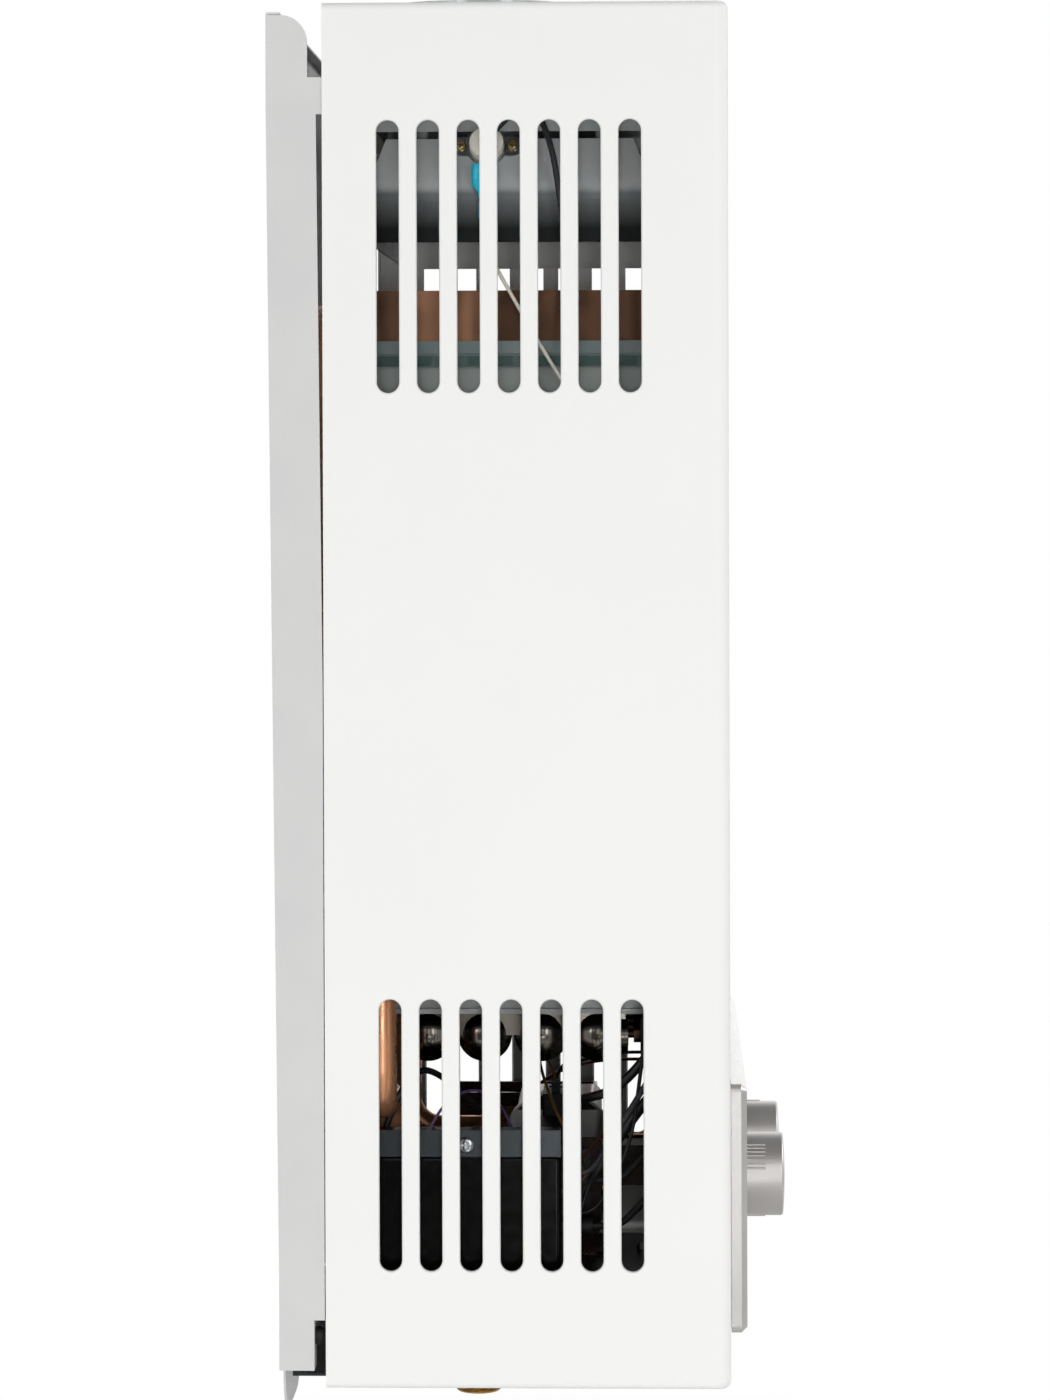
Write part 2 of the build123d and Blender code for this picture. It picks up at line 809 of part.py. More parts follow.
def return_bends():
    """Half-round bends that join the tubes into one run."""
    places = tube_places()
    bends = []
    for index in range(water_tube_count - 1):
        at_front = index % 2 == 0
        y = engine_front - water_tube_reach if at_front else engine_rear + water_tube_reach
        path = RadiusArc((places[index], y, core_mid), (places[index + 1], y, core_mid),
                         water_tube_pitch / 2 * (1 if at_front else -1))
        far = path @ 0.5
        if (far.Y < y) != at_front:
            path = RadiusArc((places[index], y, core_mid), (places[index + 1], y, core_mid),
                             water_tube_pitch / 2 * (-1 if at_front else 1))
        plane = Plane(origin=path @ 0, z_dir=path % 0)
        wall = Circle(water_tube_radius) - Circle(water_tube_radius - water_tube_wall)
        bends.append(sweep(plane * wall, path=path))
    return bends


def combustion_chamber():
    """Coated copper box under the exchanger, with a grooved double flange at its top."""
    flange_top = core_bottom
    upper_low = flange_top - upper_flange_height
    groove_low = upper_low - flange_groove
    flange_low = groove_low - lower_flange_height

    def layer(grow, low, high):
        return block((-engine_side - grow, engine_side + grow), (engine_front - grow, engine_rear + grow),
                     (low, high))

    chamber = layer(0, chamber_bottom, flange_top) + layer(chamber_flange, upper_low, flange_top)
    chamber += layer(chamber_flange - flange_groove_depth, groove_low, upper_low)
    chamber += layer(chamber_flange, flange_low, groove_low)
    chamber -= layer(-engine_sheet, chamber_bottom - 1, flange_top + 1)
    for x in (spark_x, sensor_x):
        chamber -= rod((x, engine_front - 1, case_bottom + electrode_height), (0, 1, 0), 4, electrode_hole)
    return chamber


cold_pipe_end = max(tube_places())
hot_pipe_end = min(tube_places())
tube_rear = engine_rear + water_tube_reach
pipe_rear_y = tube_rear + 20.5


def cold_water_pipe():
    """Copper pipe from the water valve, once round the chamber and up to the exchanger."""
    side = engine_side + pipe_radius + 4
    front = engine_front - pipe_radius - 4
    rise = case_bottom + 125
    turn = case_bottom + 230
    points = [
        (water_port_x, valve_y + water_half, knob_z),
        (water_port_x, -44, knob_z),
        (water_port_x, -44, rise),
        (side, -44, rise),
        (side, -44, turn),
        (side, front, turn + 12),
        (-side, front, turn + 34),
        (-side, pipe_rear_y - 4, turn + 46),
        (cold_pipe_end, pipe_rear_y, turn + 62),
        (cold_pipe_end, pipe_rear_y, core_mid),
        (cold_pipe_end, tube_rear, core_mid),
    ]
    return bent_tube(points, [16, 16, 16, 16, 20, 20, 20, 20, 14], pipe_radius, pipe_wall)


hot_pipe_x = -case_inside + 18.2
hot_pipe_y = -47.0
hot_pipe_low = 116.5
hot_pipe_turn = 62.0
hot_nut_z = case_bottom + 34.0


def hot_water_pipe():
    """Copper pipe from the exchanger down the left rear to the hot-water connection."""
    points = [
        (hot_pipe_end, tube_rear, core_mid),
        (hot_pipe_end, pipe_rear_y, core_mid),
        (hot_pipe_x, pipe_rear_y, core_mid - 6),
        (hot_pipe_x, pipe_rear_y, case_bottom + 215),
        (hot_pipe_x, hot_pipe_y, case_bottom + 185),
        (hot_pipe_x, hot_pipe_y, case_bottom + hot_pipe_low),
        (hot_outlet_x, hot_pipe_y, case_bottom + hot_pipe_low),
        (hot_outlet_x, hot_pipe_y, case_bottom + hot_pipe_turn),
        (hot_outlet_x, flue_y, case_bottom + hot_pipe_turn),
        (hot_outlet_x, flue_y, hot_nut_z),
    ]
    return bent_tube(points, [14, 16, 20, 20, 16, 16, 16, 14], pipe_radius, pipe_wall)


def pipe_union_nuts():
    """Union nuts on the cold pipe's start and the hot pipe's end."""
    gap = pipe_radius + running_gap
    cold = hexagon((water_port_x, valve_y + water_half, knob_z), (0, 1, 0), nut_length, nut_radius)
    cold -= rod((water_port_x, valve_y + water_half, knob_z), (0, 1, 0), nut_length, gap)
    hot = hexagon((hot_outlet_x, flue_y, hot_nut_z), (0, 0, 1), nut_length, nut_radius)
    hot -= rod((hot_outlet_x, flue_y, hot_nut_z), (0, 0, 1), nut_length, gap)
    return cold, hot


lobe_z = case_bottom + burner_above_bottom + lobe_radius
mouth_front = engine_mid - lobe_pitch * (lobe_count - 1) / 2 - lobe_radius - 1


def burner_x():
    """X positions of the burners and their nozzles."""
    first = -burner_pitch * (burner_count - 1) / 2
    return [first + index * burner_pitch for index in range(burner_count)]


def dished(centre, radius, half):
    """Lobe of two pressed dishes that meet in a seam, turned about X."""
    ball = (radius**2 + half**2) / (2 * half)
    lean = math.asin(radius / ball) / 2
    bulge = (half - ball + ball * math.cos(lean), ball * math.sin(lean))
    right = ThreePointArc((half, 0), bulge, (0, radius))
    left = ThreePointArc((0, radius), (-bulge[0], bulge[1]), (-half, 0))
    outline = make_face([Line((-half, 0), (half, 0)), right, left])
    return Pos(*centre) * revolve(outline, Axis.X)


def burner_form(inset):
    """Burner's solid form, inset evenly: port strip, blade and mixing lobes."""
    half = blade_thickness / 2 - inset
    strip = port_strip_width / 2 - inset
    top = case_bottom + burner_top - inset
    ledge = case_bottom + burner_ledge_height + inset
    front = engine_front + blade_end_gap + inset
    rear = engine_rear - blade_end_gap - inset
    lobe_front = engine_mid - lobe_pitch * (lobe_count - 1) / 2
    lobe_rear = lobe_front + lobe_pitch * (lobe_count - 1)
    form = block((-half, half), (front, rear), (ledge, top))
    form += block((-strip, strip), (front, rear), (top - port_strip_height, top))
    form += block((-half, half), (lobe_front - lobe_radius + inset, lobe_rear + lobe_radius - inset),
                  (lobe_z, ledge))
    for index in range(lobe_count):
        centre = (0, lobe_front + index * lobe_pitch, lobe_z)
        form += dished(centre, lobe_radius - inset, lobe_length / 2 - inset)
    return form


def burner_blades():
    """Pressed-steel burners: hollow, with a row of ports on top and a round mouth in front."""
    blade = burner_form(0)
    hollow = burner_form(burner_sheet)
    mouth = (0, mouth_front, lobe_z)
    blade += rod(mouth, (0, 1, 0), lobe_radius, mouth_radius)
    blade -= hollow
    blade -= rod(mouth, (0, 1, 0), lobe_radius, mouth_radius - burner_sheet)
    top = case_bottom + burner_top
    reach = engine_depth / 2 - port_pitch
    half = port_length / 2
    count = int(2 * reach / port_pitch)
    for index in range(count + 1):
        y = engine_mid - reach + index * port_pitch
        blade -= block((-half, half), (y, y + port_width), (top - 2 * burner_sheet, top + 1))
    return [Pos(x, 0, 0) * blade for x in burner_x()]


def burner_frame():
    """Steel frame under the chamber that the burners stand in."""
    low = case_bottom + burner_frame_above_bottom
    grow = burner_frame_grow
    x = engine_side + grow
    y = (engine_front - grow, engine_rear + grow)
    wall = burner_frame_wall
    frame = block((-x, x), y, (low, chamber_bottom))
    frame += block((-x - burner_lip, x + burner_lip), (y[0] - burner_lip, y[1] + burner_lip),
                   (low, low + burner_lip_height))
    frame -= block((-x + wall, x - wall), (y[0] + wall, y[1] - wall), (low - 1, chamber_bottom + 1))
    ledge = case_bottom + burner_ledge_height
    reach = grow + burner_ledge
    for edge in (y[0] + wall, y[1] - wall - reach):
        frame += block((-x + wall, x - wall), (edge, edge + reach), (ledge - ledge_sheet, ledge))
    shelf = wall + grow
    for edge in (-x + wall, x - shelf):
        frame += block((edge, edge + shelf - wall), (y[0] + wall, y[1] - wall),
                       (chamber_bottom - ledge_sheet, chamber_bottom))
    return frame


manifold_front = case_front + manifold_behind_front
manifold_rear = manifold_front + manifold_size
manifold_low = case_bottom + manifold_above_bottom
manifold_mid_y = (manifold_front + manifold_rear) / 2
manifold_mid_z = manifold_low + manifold_size / 2
arm_top = knob_z + outlet_arm_height


def gas_manifold():
    """Cast bar that feeds the nozzles, with a neck down to the gas valve and two tabs."""
    half = manifold_width / 2
    bar = block((-half, half), (manifold_front, manifold_rear), (manifold_low, manifold_low + manifold_size))
    bar = fillet(bar.edges().filter_by(Axis.X), 3)
    bar -= rod((-half + 4, manifold_mid_y, manifold_mid_z), (1, 0, 0), manifold_width - 8, manifold_bore)
    bar += rod((outlet_arm_x, manifold_mid_y, arm_top), (0, 0, 1), manifold_low + 3 - arm_top, neck_radius)
    bar -= rod((outlet_arm_x, manifold_mid_y, arm_top), (0, 0, 1), manifold_mid_z - arm_top, neck_bore)
    for x in burner_x():
        bar -= rod((x, manifold_rear, manifold_mid_z), (0, -1, 0), manifold_size / 2, nozzle_stub + tube_fit)
    tab_y = engine_front - burner_frame_grow - burner_lip
    for x in (-100, 100):
        bar += block((x - tab_width / 2, x + tab_width / 2), (tab_y - 2, tab_y),
                     (manifold_mid_z, chamber_bottom - 4))
    return bar


def gas_nozzles():
    """Brass jets that point into the burners' mouths."""
    nozzles = []
    for x in burner_x():
        seat = (x, manifold_rear, manifold_mid_z)
        tip = (x, manifold_rear + nozzle_head, manifold_mid_z)
        nozzle = hexagon(seat, (0, 1, 0), nozzle_head, nozzle_radius)
        nozzle += rod(tip, (0, 1, 0), nozzle_tip_length, nozzle_tip_radius)
        nozzle += rod(seat, (0, -1, 0), nozzle_stub, nozzle_stub)
        start = (x, manifold_rear - nozzle_stub, manifold_mid_z)
        nozzles.append(nozzle - rod(start, (0, 1, 0), nozzle_stub + nozzle_head + nozzle_tip_length, nozzle_jet))
    return nozzles


electrode_z = case_bottom + electrode_height
bracket_front = engine_front - electrode_plate
electrode_start = bracket_front - ceramic_length * 0.4


def electrode(x):
    """Ceramic rod with its metal needle, along Y into the chamber."""
    body = rod((x, electrode_start, electrode_z), (0, 1, 0), ceramic_length, ceramic_radius)
    body = fillet(body.edges().group_by(Axis.Y)[-1], ceramic_radius * 0.4)
    body += rod((x, bracket_front - 1.5, electrode_z), (0, 1, 0), 1.5, ceramic_radius + 1.5)
    needle = rod((x, electrode_start - needle_tail, electrode_z), (0, 1, 0),
                 ceramic_length + needle_reach + needle_tail, needle_wire)
    return body + needle


def electrode_bracket():
    """Plate on the chamber's front that holds both electrodes."""
    margin = 14
    plate = block((spark_x - margin, sensor_x + margin), (bracket_front, engine_front),
                  (electrode_z - margin, electrode_z + margin))
    for x in (spark_x, sensor_x):
        plate -= rod((x, bracket_front - 1, electrode_z), (0, 1, 0), 4, ceramic_radius + running_gap)
    return plate


def gas_valve_body():
    """Cast body: inlet chamber, poppet seat, metering bore, outlet chamber and outlet arm."""
    low = knob_z - gas_half_height
    body = block((gas_left, gas_right), (gas_front, valve_y + gas_half_depth), (low, knob_z + gas_half_height))
    body = fillet(body.edges().filter_by(Axis.X), 4)
    arm_half = outlet_arm_width / 2
    body += block((outlet_arm_x - arm_half, outlet_arm_x + arm_half), (manifold_front, gas_front + 2),
                  (knob_z, arm_top))
    axis = (1, 0, 0)
    inner_right = gas_right - gas_end_wall
    body -= rod((gas_chamber_left, valve_y, knob_z), axis, gas_seat_left - gas_chamber_left, gas_chamber_radius)
    body -= rod((gas_seat_left, valve_y, knob_z), axis, gas_seat_right - gas_seat_left, gas_seat_radius)
    body -= rod((gas_seat_right, valve_y, knob_z), axis, inner_right - gas_seat_right, gas_chamber_radius)
    body -= rod((inner_right - 1, valve_y, knob_z), axis, gas_end_wall + 2, push_rod_radius + running_gap)
    body -= rod((gas_inlet_x, valve_y, low - 1), (0, 0, 1), gas_half_height, gas_inlet_bore)
    back = valve_y + plug_length / 2 + plug_end_gap
    body -= rod((gas_x, back, knob_z), (0, -1, 0), back - gas_front + 1, plug_radius + running_gap)
    body -= rod((gas_chamber_left, valve_y, knob_z), (-1, 0, 0), -gas_left + gas_chamber_left - 10, passage_radius)
    body -= rod((gas_left - 1, valve_y, knob_z), axis, outlet_chamber_right - gas_left + 1, outlet_chamber_radius)
    channel_z = knob_z + outlet_arm_height / 2
    body -= rod((outlet_arm_x, valve_y, channel_z), (0, -1, 0), valve_y - manifold_mid_y, outlet_arm_bore)
    body -= rod((outlet_arm_x, manifold_mid_y, channel_z), (0, 0, 1), outlet_arm_height, outlet_arm_bore)
    return body


def gas_connector():
    """Gas inlet connection under the gas valve."""
    return connector((gas_inlet_x, valve_y), knob_z - gas_half_height, gas_inlet_bore)


def connector(place, top, bore):
    """Threaded connection: hexagon on the bottom plate, stem up to its valve, thread below."""
    x, y = place
    piece = rod((x, y, thread_end), (0, 0, 1), thread_length, thread_radius)
    piece += rod((x, y, thread_end), (0, 0, 1), top - thread_end, stem_radius)
    piece += hexagon((x, y, bottom_plate_top), (0, 0, 1), connector_hex_height, connector_hex)
    piece -= rod((x, y, thread_end - 1), (0, 0, 1), top - thread_end + 2, bore)
    edge = piece.edges().filter_by(GeomType.CIRCLE).group_by(Axis.Z)[0].sort_by(SortBy.RADIUS)[-1]
    return chamfer(edge, 1.0)


def hot_water_connector():
    """Hot-water connection under the hot pipe's union nut."""
    return connector((hot_outlet_x, flue_y), hot_nut_z, pipe_radius - pipe_wall)


def cold_water_connector():
    """Cold-water connection under the water valve."""
    return connector((water_inlet_x, valve_y), knob_z - water_half, connector_bore)


def inlet_filter():
    """Cup strainer in the cold-water connection."""
    top = knob_z - water_half
    low = top - filter_length
    cup = rod((water_inlet_x, valve_y, low), (0, 0, 1), filter_length, filter_radius)
    cup -= rod((water_inlet_x, valve_y, low + filter_wall), (0, 0, 1), filter_length, filter_radius - filter_wall)
    for level in range(3):
        for turn in range(4):
            angle = math.radians(45 * level + 90 * turn)
            start = (water_inlet_x, valve_y, low + 4 + 4 * level)
            cup -= rod(start, (math.cos(angle), math.sin(angle), 0), filter_radius + 1, 1.0)
    return cup


def spindle(x, plug, length, cross):
    """Control spindle: plug in the valve and a shaft with a flat for the knob."""
    back = valve_y + length / 2
    shaft_end = knob_back - knob_hollow + 1
    body = rod((x, back, knob_z), (0, -1, 0), length, plug)
    body -= rod((x - plug - 1, valve_y, knob_z), (1, 0, 0), 2 * plug + 2, cross)
    body += rod((x, back - length, knob_z), (0, -1, 0), back - length - shaft_end, spindle_radius)
    flat = block((x - spindle_radius, x + spindle_radius), (shaft_end, knob_back + 1),
                 (knob_z + spindle_flat, knob_z + 2 * spindle_radius))
    return body - flat


def knob(x, rest):
    """Round knob with a domed face, grip ribs, a pointer groove and a D-shaped bore.

    At rest its pointer stands this many degrees clockwise from the top, as seen from the front.
    """
    body = rod((x, knob_back, knob_z), (0, -1, 0), knob_length, knob_radius)
    body &= Pos(x, knob_front + knob_dome, knob_z) * Sphere(knob_dome)
    body = fillet(body.edges().filter_by(GeomType.CIRCLE).group_by(Axis.Y)[0], knob_edge)
    step = grip_arc / (grip_ribs - 1)
    ribs = []
    for middle in grip_angles:
        for index in range(grip_ribs):
            angle = math.radians(middle - rest - grip_arc / 2 + index * step)
            place = (x + knob_radius * math.cos(angle), knob_back, knob_z + knob_radius * math.sin(angle))
            ribs.append(rod(place, (0, -1, 0), grip_length, grip_rib_radius))
    body += ribs
    hollow = ring((x, knob_back, knob_z), (0, -1, 0), knob_hollow, knob_radius - knob_wall, knob_boss)
    bore = rod((x, knob_back, knob_z), (0, -1, 0), knob_hollow, spindle_radius + running_gap)
    bore -= block((x - knob_boss, x + knob_boss), (knob_back - knob_hollow, knob_back),
                  (knob_z + spindle_flat + running_gap, knob_z + knob_boss))
    pointer = block((-pointer_width / 2, pointer_width / 2), (knob_front - 1, knob_front + pointer_depth + 0.5),
                    (knob_radius - pointer_length - 3, knob_radius - 3))
    pointer = Pos(x, 0, knob_z) * Rot(0, rest, 0) * pointer
    return body - hollow - bore - pointer


def spindle_bonnets():
    """Gland nuts that hold the plugs in the valve bodies."""
    bonnets = []
    for x, face, radius in ((gas_x, gas_front, plug_radius), (water_x, water_front, needle_radius)):
        nut = hexagon((x, face, knob_z), (0, -1, 0), bonnet_length, bonnet_radius)
        nut += rod((x, face, knob_z), (0, 1, 0), bonnet_insert, radius)
        nut -= rod((x, face + bonnet_insert + 1, knob_z), (0, -1, 0), bonnet_insert + bonnet_length + 2,
                   spindle_radius + running_gap)
        bonnets.append(nut)
    return bonnets


def gas_poppet():
    """Disc on the rod's tip that closes the gas seat."""
    disc = rod((gas_seat_left - poppet_thickness, valve_y, knob_z), (1, 0, 0), poppet_thickness, poppet_radius)
    return fillet(disc.edges().group_by(Axis.X)[0], 0.6)


def poppet_spring():
    """Closing spring between the poppet and the chamber's end."""
    start = gas_chamber_left + spring_wire
    length = gas_seat_left - poppet_thickness - spring_wire - start
    path = Helix(pitch=length / spring_turns, height=length, radius=spring_radius)
    coil = sweep(Plane(origin=path @ 0, z_dir=path % 0) * Circle(spring_wire / 2 + 0.1), path=path, is_frenet=True)
    return Location(Plane(origin=(start, valve_y, knob_z), z_dir=(1, 0, 0))) * coil


def solenoid_coil():
    """Coil of the safety valve, on the gas valve's left end."""
    left = gas_left - coil_length
    coil = rod((left, valve_y, knob_z), (1, 0, 0), coil_length, coil_radius)
    coil = fillet(coil.edges().group_by(Axis.X)[0], 1.5)
    coil += block((gas_left - 3, gas_left), (valve_y - 17, valve_y + 17), (knob_z - 17, knob_z + 17))
    reach = gas_left - plunger_stroke_end
    return coil - rod((plunger_stroke_end, valve_y, knob_z), (1, 0, 0), reach + 1, plunger_radius + running_gap)


plunger_stroke_end = gas_left - 22.0


def solenoid_plunger():
    """Plunger whose disc closes the passage to the outlet chamber."""
    right = outlet_chamber_right - plunger_seat_gap
    left = plunger_stroke_end + plunger_travel + 0.5
    disc = rod((right - plunger_disc, valve_y, knob_z), (1, 0, 0), plunger_disc, plunger_disc_radius)
    return disc + rod((left, valve_y, knob_z), (1, 0, 0), right - plunger_disc - left, plunger_radius)


def bolt_places():
    """Bolt circle of the water valve's flange, as Y and Z."""
    for index in range(water_bolts):
        angle = math.radians(30 + 360 / water_bolts * index)
        yield valve_y + water_bolt_circle * math.cos(angle), knob_z + water_bolt_circle * math.sin(angle)


def diaphragm_cover():
    """Cover of the diaphragm chamber, with the guide of the push rod."""
    cover = rod((water_cover_left, valve_y, knob_z), (1, 0, 0), water_cover_length, water_flange_radius)
    cover = fillet(cover.edges().group_by(Axis.X)[0], 1.5)
    cavity = water_cover_left + water_cover_wall
    cover -= rod((cavity, valve_y, knob_z), (1, 0, 0), water_cover_length, water_cavity_radius)
    cover -= rod((water_cover_left - 1, valve_y, knob_z), (1, 0, 0), water_cover_wall + 2,
                 push_rod_radius + running_gap)
    return cover - [rod((water_cover_left - 1, y, z), (1, 0, 0), water_cover_length + 2, bolt_radius + bolt_gap)
                    for y, z in bolt_places()]


def diaphragm():
    """Rubber diaphragm clamped between cover and body."""
    sheet = rod((water_cover_right, valve_y, knob_z), (1, 0, 0), diaphragm_sheet, water_flange_radius)
    return sheet - [rod((water_cover_right - 1, y, z), (1, 0, 0), diaphragm_sheet + 2, bolt_radius + bolt_gap)
                    for y, z in bolt_places()]


def water_valve_body():
    """Brass body: diaphragm flange, water chamber, needle bore, inlet and outlet ports."""
    flange_right = diaphragm_right + water_flange
    body = block((flange_right - 1, water_right), (water_front, valve_y + water_half),
                 (knob_z - water_half, knob_z + water_half))
    body = fillet(body.edges().filter_by(Axis.X), 5)
    body += rod((diaphragm_right, valve_y, knob_z), (1, 0, 0), water_flange, water_flange_radius)
    body -= rod((diaphragm_right, valve_y, knob_z), (1, 0, 0), water_flange - 1, water_cavity_radius)
    body -= rod((flange_right - 2, valve_y, knob_z), (1, 0, 0), water_chamber_right - flange_right, water_bore)
    back = valve_y + needle_length / 2 + plug_end_gap
    body -= rod((water_x, back, knob_z), (0, -1, 0), back - water_front + 1, needle_radius + running_gap)
    body -= rod((water_inlet_x, valve_y, knob_z - water_half - 1), (0, 0, 1), water_half, connector_bore)
    body -= rod((water_port_x, valve_y, knob_z), (0, 1, 0), water_half + 1, pipe_radius - pipe_wall)
    body -= rod((drain_x, water_front - 1, drain_z), (0, 1, 0), drain_length + 1, drain_radius - 1 + tube_fit)
    return body - [rod((diaphragm_right - 1, y, z), (1, 0, 0), water_flange + 12, bolt_radius + bolt_gap)
                   for y, z in bolt_places()]


drain_x = water_right - 11.0
drain_z = knob_z - 8.0


def drain_plug():
    """Knurled plug that drains the valve against frost."""
    plug = rod((drain_x, water_front, drain_z), (0, 1, 0), drain_length - 3, drain_radius - 1)
    head = rod((drain_x, water_front, drain_z), (0, -1, 0), drain_length, drain_radius + 1)
    head = chamfer(head.edges().group_by(Axis.Y)[0], 1)
    notches = []
    for index in range(12):
        angle = math.radians(30 * index)
        place = (drain_x + (drain_radius + 1) * math.cos(angle), water_front - 2,
                 drain_z + (drain_radius + 1) * math.sin(angle))
        notches.append(rod(place, (0, -1, 0), drain_length, 0.6))
    return plug + (head - notches)


def valve_screws():
    """Screws through the diaphragm cover into the water valve's flange."""
    screws = []
    for y, z in bolt_places():
        head = rod((water_cover_left, y, z), (-1, 0, 0), bolt_head_height, bolt_head_radius)
        head = fillet(head.edges().group_by(Axis.X)[0], 0.8)
        length = water_cover_length + diaphragm_sheet + water_flange - 1
        screws.append(head + rod((water_cover_left, y, z), (1, 0, 0), length, bolt_radius))
    return screws


def push_rod():
    """Rod from the diaphragm to the poppet, with its plate and the collar of the lever."""
    piece = rod((gas_seat_left, valve_y, knob_z), (1, 0, 0), water_cover_right - gas_seat_left, push_rod_radius)
    piece += rod((water_cover_right - rod_plate_thickness, valve_y, knob_z), (1, 0, 0), rod_plate_thickness,
                 rod_plate_radius)
    return piece + rod((collar_left, valve_y, knob_z), (1, 0, 0), collar_length, collar_radius)


switch_low = knob_z + gas_half_height
lever_pivot_z = knob_z + lever_pivot_up


def microswitch():
    """Switch on the gas valve, with two ears and the lever's pin."""
    right = lever_pivot_x - lever_eye - 0.6
    half = switch_depth / 2
    body = block((right - switch_length, right), (valve_y - half, valve_y + half),
                 (switch_low, switch_low + switch_height))
    body = fillet(body.edges().filter_by(Axis.Z), 1)
    ear_right = lever_pivot_x + 2
    for edge in (valve_y - half, valve_y + half - switch_ear):
        body += block((right - 2, ear_right), (edge, edge + switch_ear), (lever_pivot_z - 3, lever_pivot_z + 2))
    body += rod((lever_pivot_x, valve_y - half, lever_pivot_z), (0, 1, 0), switch_depth, pin_radius)
    for reach in (4, 9, 14):
        body += block((right - reach - 0.5, right - reach + 0.5), (valve_y - 2, valve_y + 2),
                      (switch_low + switch_height, switch_low + switch_height + 5))
    return body


def switch_lever():
    """Strip lever with an eye round the pin and a fork round the push rod."""
    half = lever_width / 2
    low = knob_z - lever_tail
    strip = block((lever_pivot_x - lever_sheet / 2, lever_pivot_x + lever_sheet / 2),
                  (valve_y - half, valve_y + half), (low, lever_pivot_z - pin_radius))
    slot = block((lever_pivot_x - 1, lever_pivot_x + 1), (valve_y - lever_slot / 2, valve_y + lever_slot / 2),
                 (low - 1, knob_z + lever_slot / 2))
    strip -= slot
    eye = rod((lever_pivot_x, valve_y - half, lever_pivot_z), (0, 1, 0), lever_width, lever_eye)
    hole = rod((lever_pivot_x, valve_y - half - 1, lever_pivot_z), (0, 1, 0), lever_width + 2,
               pin_radius + running_gap)
    return strip + eye - hole


def control_panel():
    """Silver panel with a chamfered rim, set off from the case by a shadow line."""
    half = panel_width / 2
    low = case_bottom + panel_low
    high = case_bottom + panel_high
    body = block((-half, half), (panel_front, case_front - panel_shadow), (low, high))
    body = fillet(body.edges().filter_by(Axis.Y), panel_corner)
    body = chamfer(body.faces().sort_by(Axis.Y)[0].edges(), panel_chamfer)
    rim = panel_rebate
    body += block((-half + rim, half - rim), (case_front - panel_shadow, case_front), (low + rim, high - rim))
    wall = rim + panel_wall
    body -= block((-half + wall, half - wall), (panel_front + panel_wall, case_front + 1), (low + wall, high - wall))
    for x, z in panel_screw_places():
        body += rod((x, panel_front + panel_wall, z), (0, 1, 0), panel_stand - panel_wall, panel_boss)
        body -= rod((x, panel_front + panel_wall, z), (0, 1, 0), panel_stand, screw_radius + screw_gap / 2)
    for x in (gas_x, water_x):
        body -= rod((x, panel_front - 1, knob_z), (0, 1, 0), panel_stand, spindle_hole)
    z = knob_z + window_above_knobs
    body -= block((-window_width / 2, window_width / 2), (panel_front - 1, panel_front + panel_wall + 1),
                  (z - window_height / 2, z + window_height / 2))
    return body


def display_window():
    """Dark window, flush with the panel, held behind it by a lip."""
    z = knob_z + window_above_knobs
    x = window_width / 2 - window_gap
    tall = window_height / 2 - window_gap
    seat = panel_front + panel_wall
    glass = block((-x, x), (panel_front, seat), (z - tall, z + tall))
    return glass + block((-x - window_lip, x + window_lip), (seat, seat + window_lip_sheet),
                         (z - tall - window_lip, z + tall + window_lip))


def display_board():
    """Circuit board with its digit block behind the window."""
    z = knob_z + window_above_knobs
    front = panel_front + panel_wall + window_lip_sheet + board_gap
    x = window_width / 2 - 2
    tall = window_height / 2 - 2
    digits = block((-x, x), (front, front + digit_block), (z - tall, z + tall))
    half = window_width / 2 + 5
    high = window_height / 2 + 5
    board = block((-half, half), (front + digit_block, front + digit_block + board_sheet), (z - high, z + high))
    for px in (-half + 1.5, half - 1.5):
        for pz in (z - high + 1.5, z + high - 1.5):
            board += rod((px, panel_front + panel_wall, pz), (0, 1, 0),
                         front + digit_block - panel_front - panel_wall, 1.2)
    return board + digits


controller_rear = case_rear - controller_rear_drop
controller_front = case_rear - controller_front_drop
band_low = case_bottom + controller_high
band_top = band_low + band_height
band_screw = (controller_left - band_sheet, case_rear - band_screw_back, band_low + band_height / 2)


def controller_bracket():
    """Steel angle from the back plate that carries the ignition controller."""
    left = controller_left - band_sheet
    across = (left, controller_left + shelf_width)
    band = block((left, controller_left), (controller_front, controller_rear), (band_low, band_top))
    rear = web_front_at(band_top)
    shelf = block(across, (controller_front, rear), (band_top, band_top + band_sheet))
    foot = block(across, (rear - band_sheet, rear), (band_top, band_top + bracket_width))
    bracket = band + shelf + foot
    return bracket - rod(band_screw, (1, 0, 0), 4, screw_radius + screw_gap)


def ignition_controller():
    """Potted ignition controller: a rounded black block with its screw tab."""
    x = (controller_left, controller_right)
    y = (controller_front, controller_rear)
    z = (case_bottom + controller_low, band_low)
    body = fillet(block(x, y, z).edges(), controller_round)
    reach = controller_tab / 2
    body += block((controller_left, controller_left + 6), (band_screw[1] - reach, band_screw[1] + reach),
                  (band_low - controller_round - 1, band_top))
    return body - rod((controller_left - 1, band_screw[1], band_screw[2]), (1, 0, 0), 8,
                      screw_radius + screw_gap / 2)


def battery_limits():
    """Outer limits of the battery box on X and Y."""
    half = battery_radius + battery_gap + battery_wall
    length = battery_pitch / 2 + battery_radius + battery_gap + battery_wall
    middle = case_rear - battery_rear_drop - length
    return battery_x - half, battery_x + half, middle - length, middle + length


battery_top = bottom_plate_low + battery_length + battery_nub + 2 * contact_sheet
hinge_z = case_bottom - hinge_drop


def battery_centres():
    """Cell axes as X and Y."""
    x_low, x_high, y_low, y_high = battery_limits()
    middle = (y_low + y_high) / 2
    return [(battery_x, middle - battery_pitch / 2), (battery_x, middle + battery_pitch / 2)]


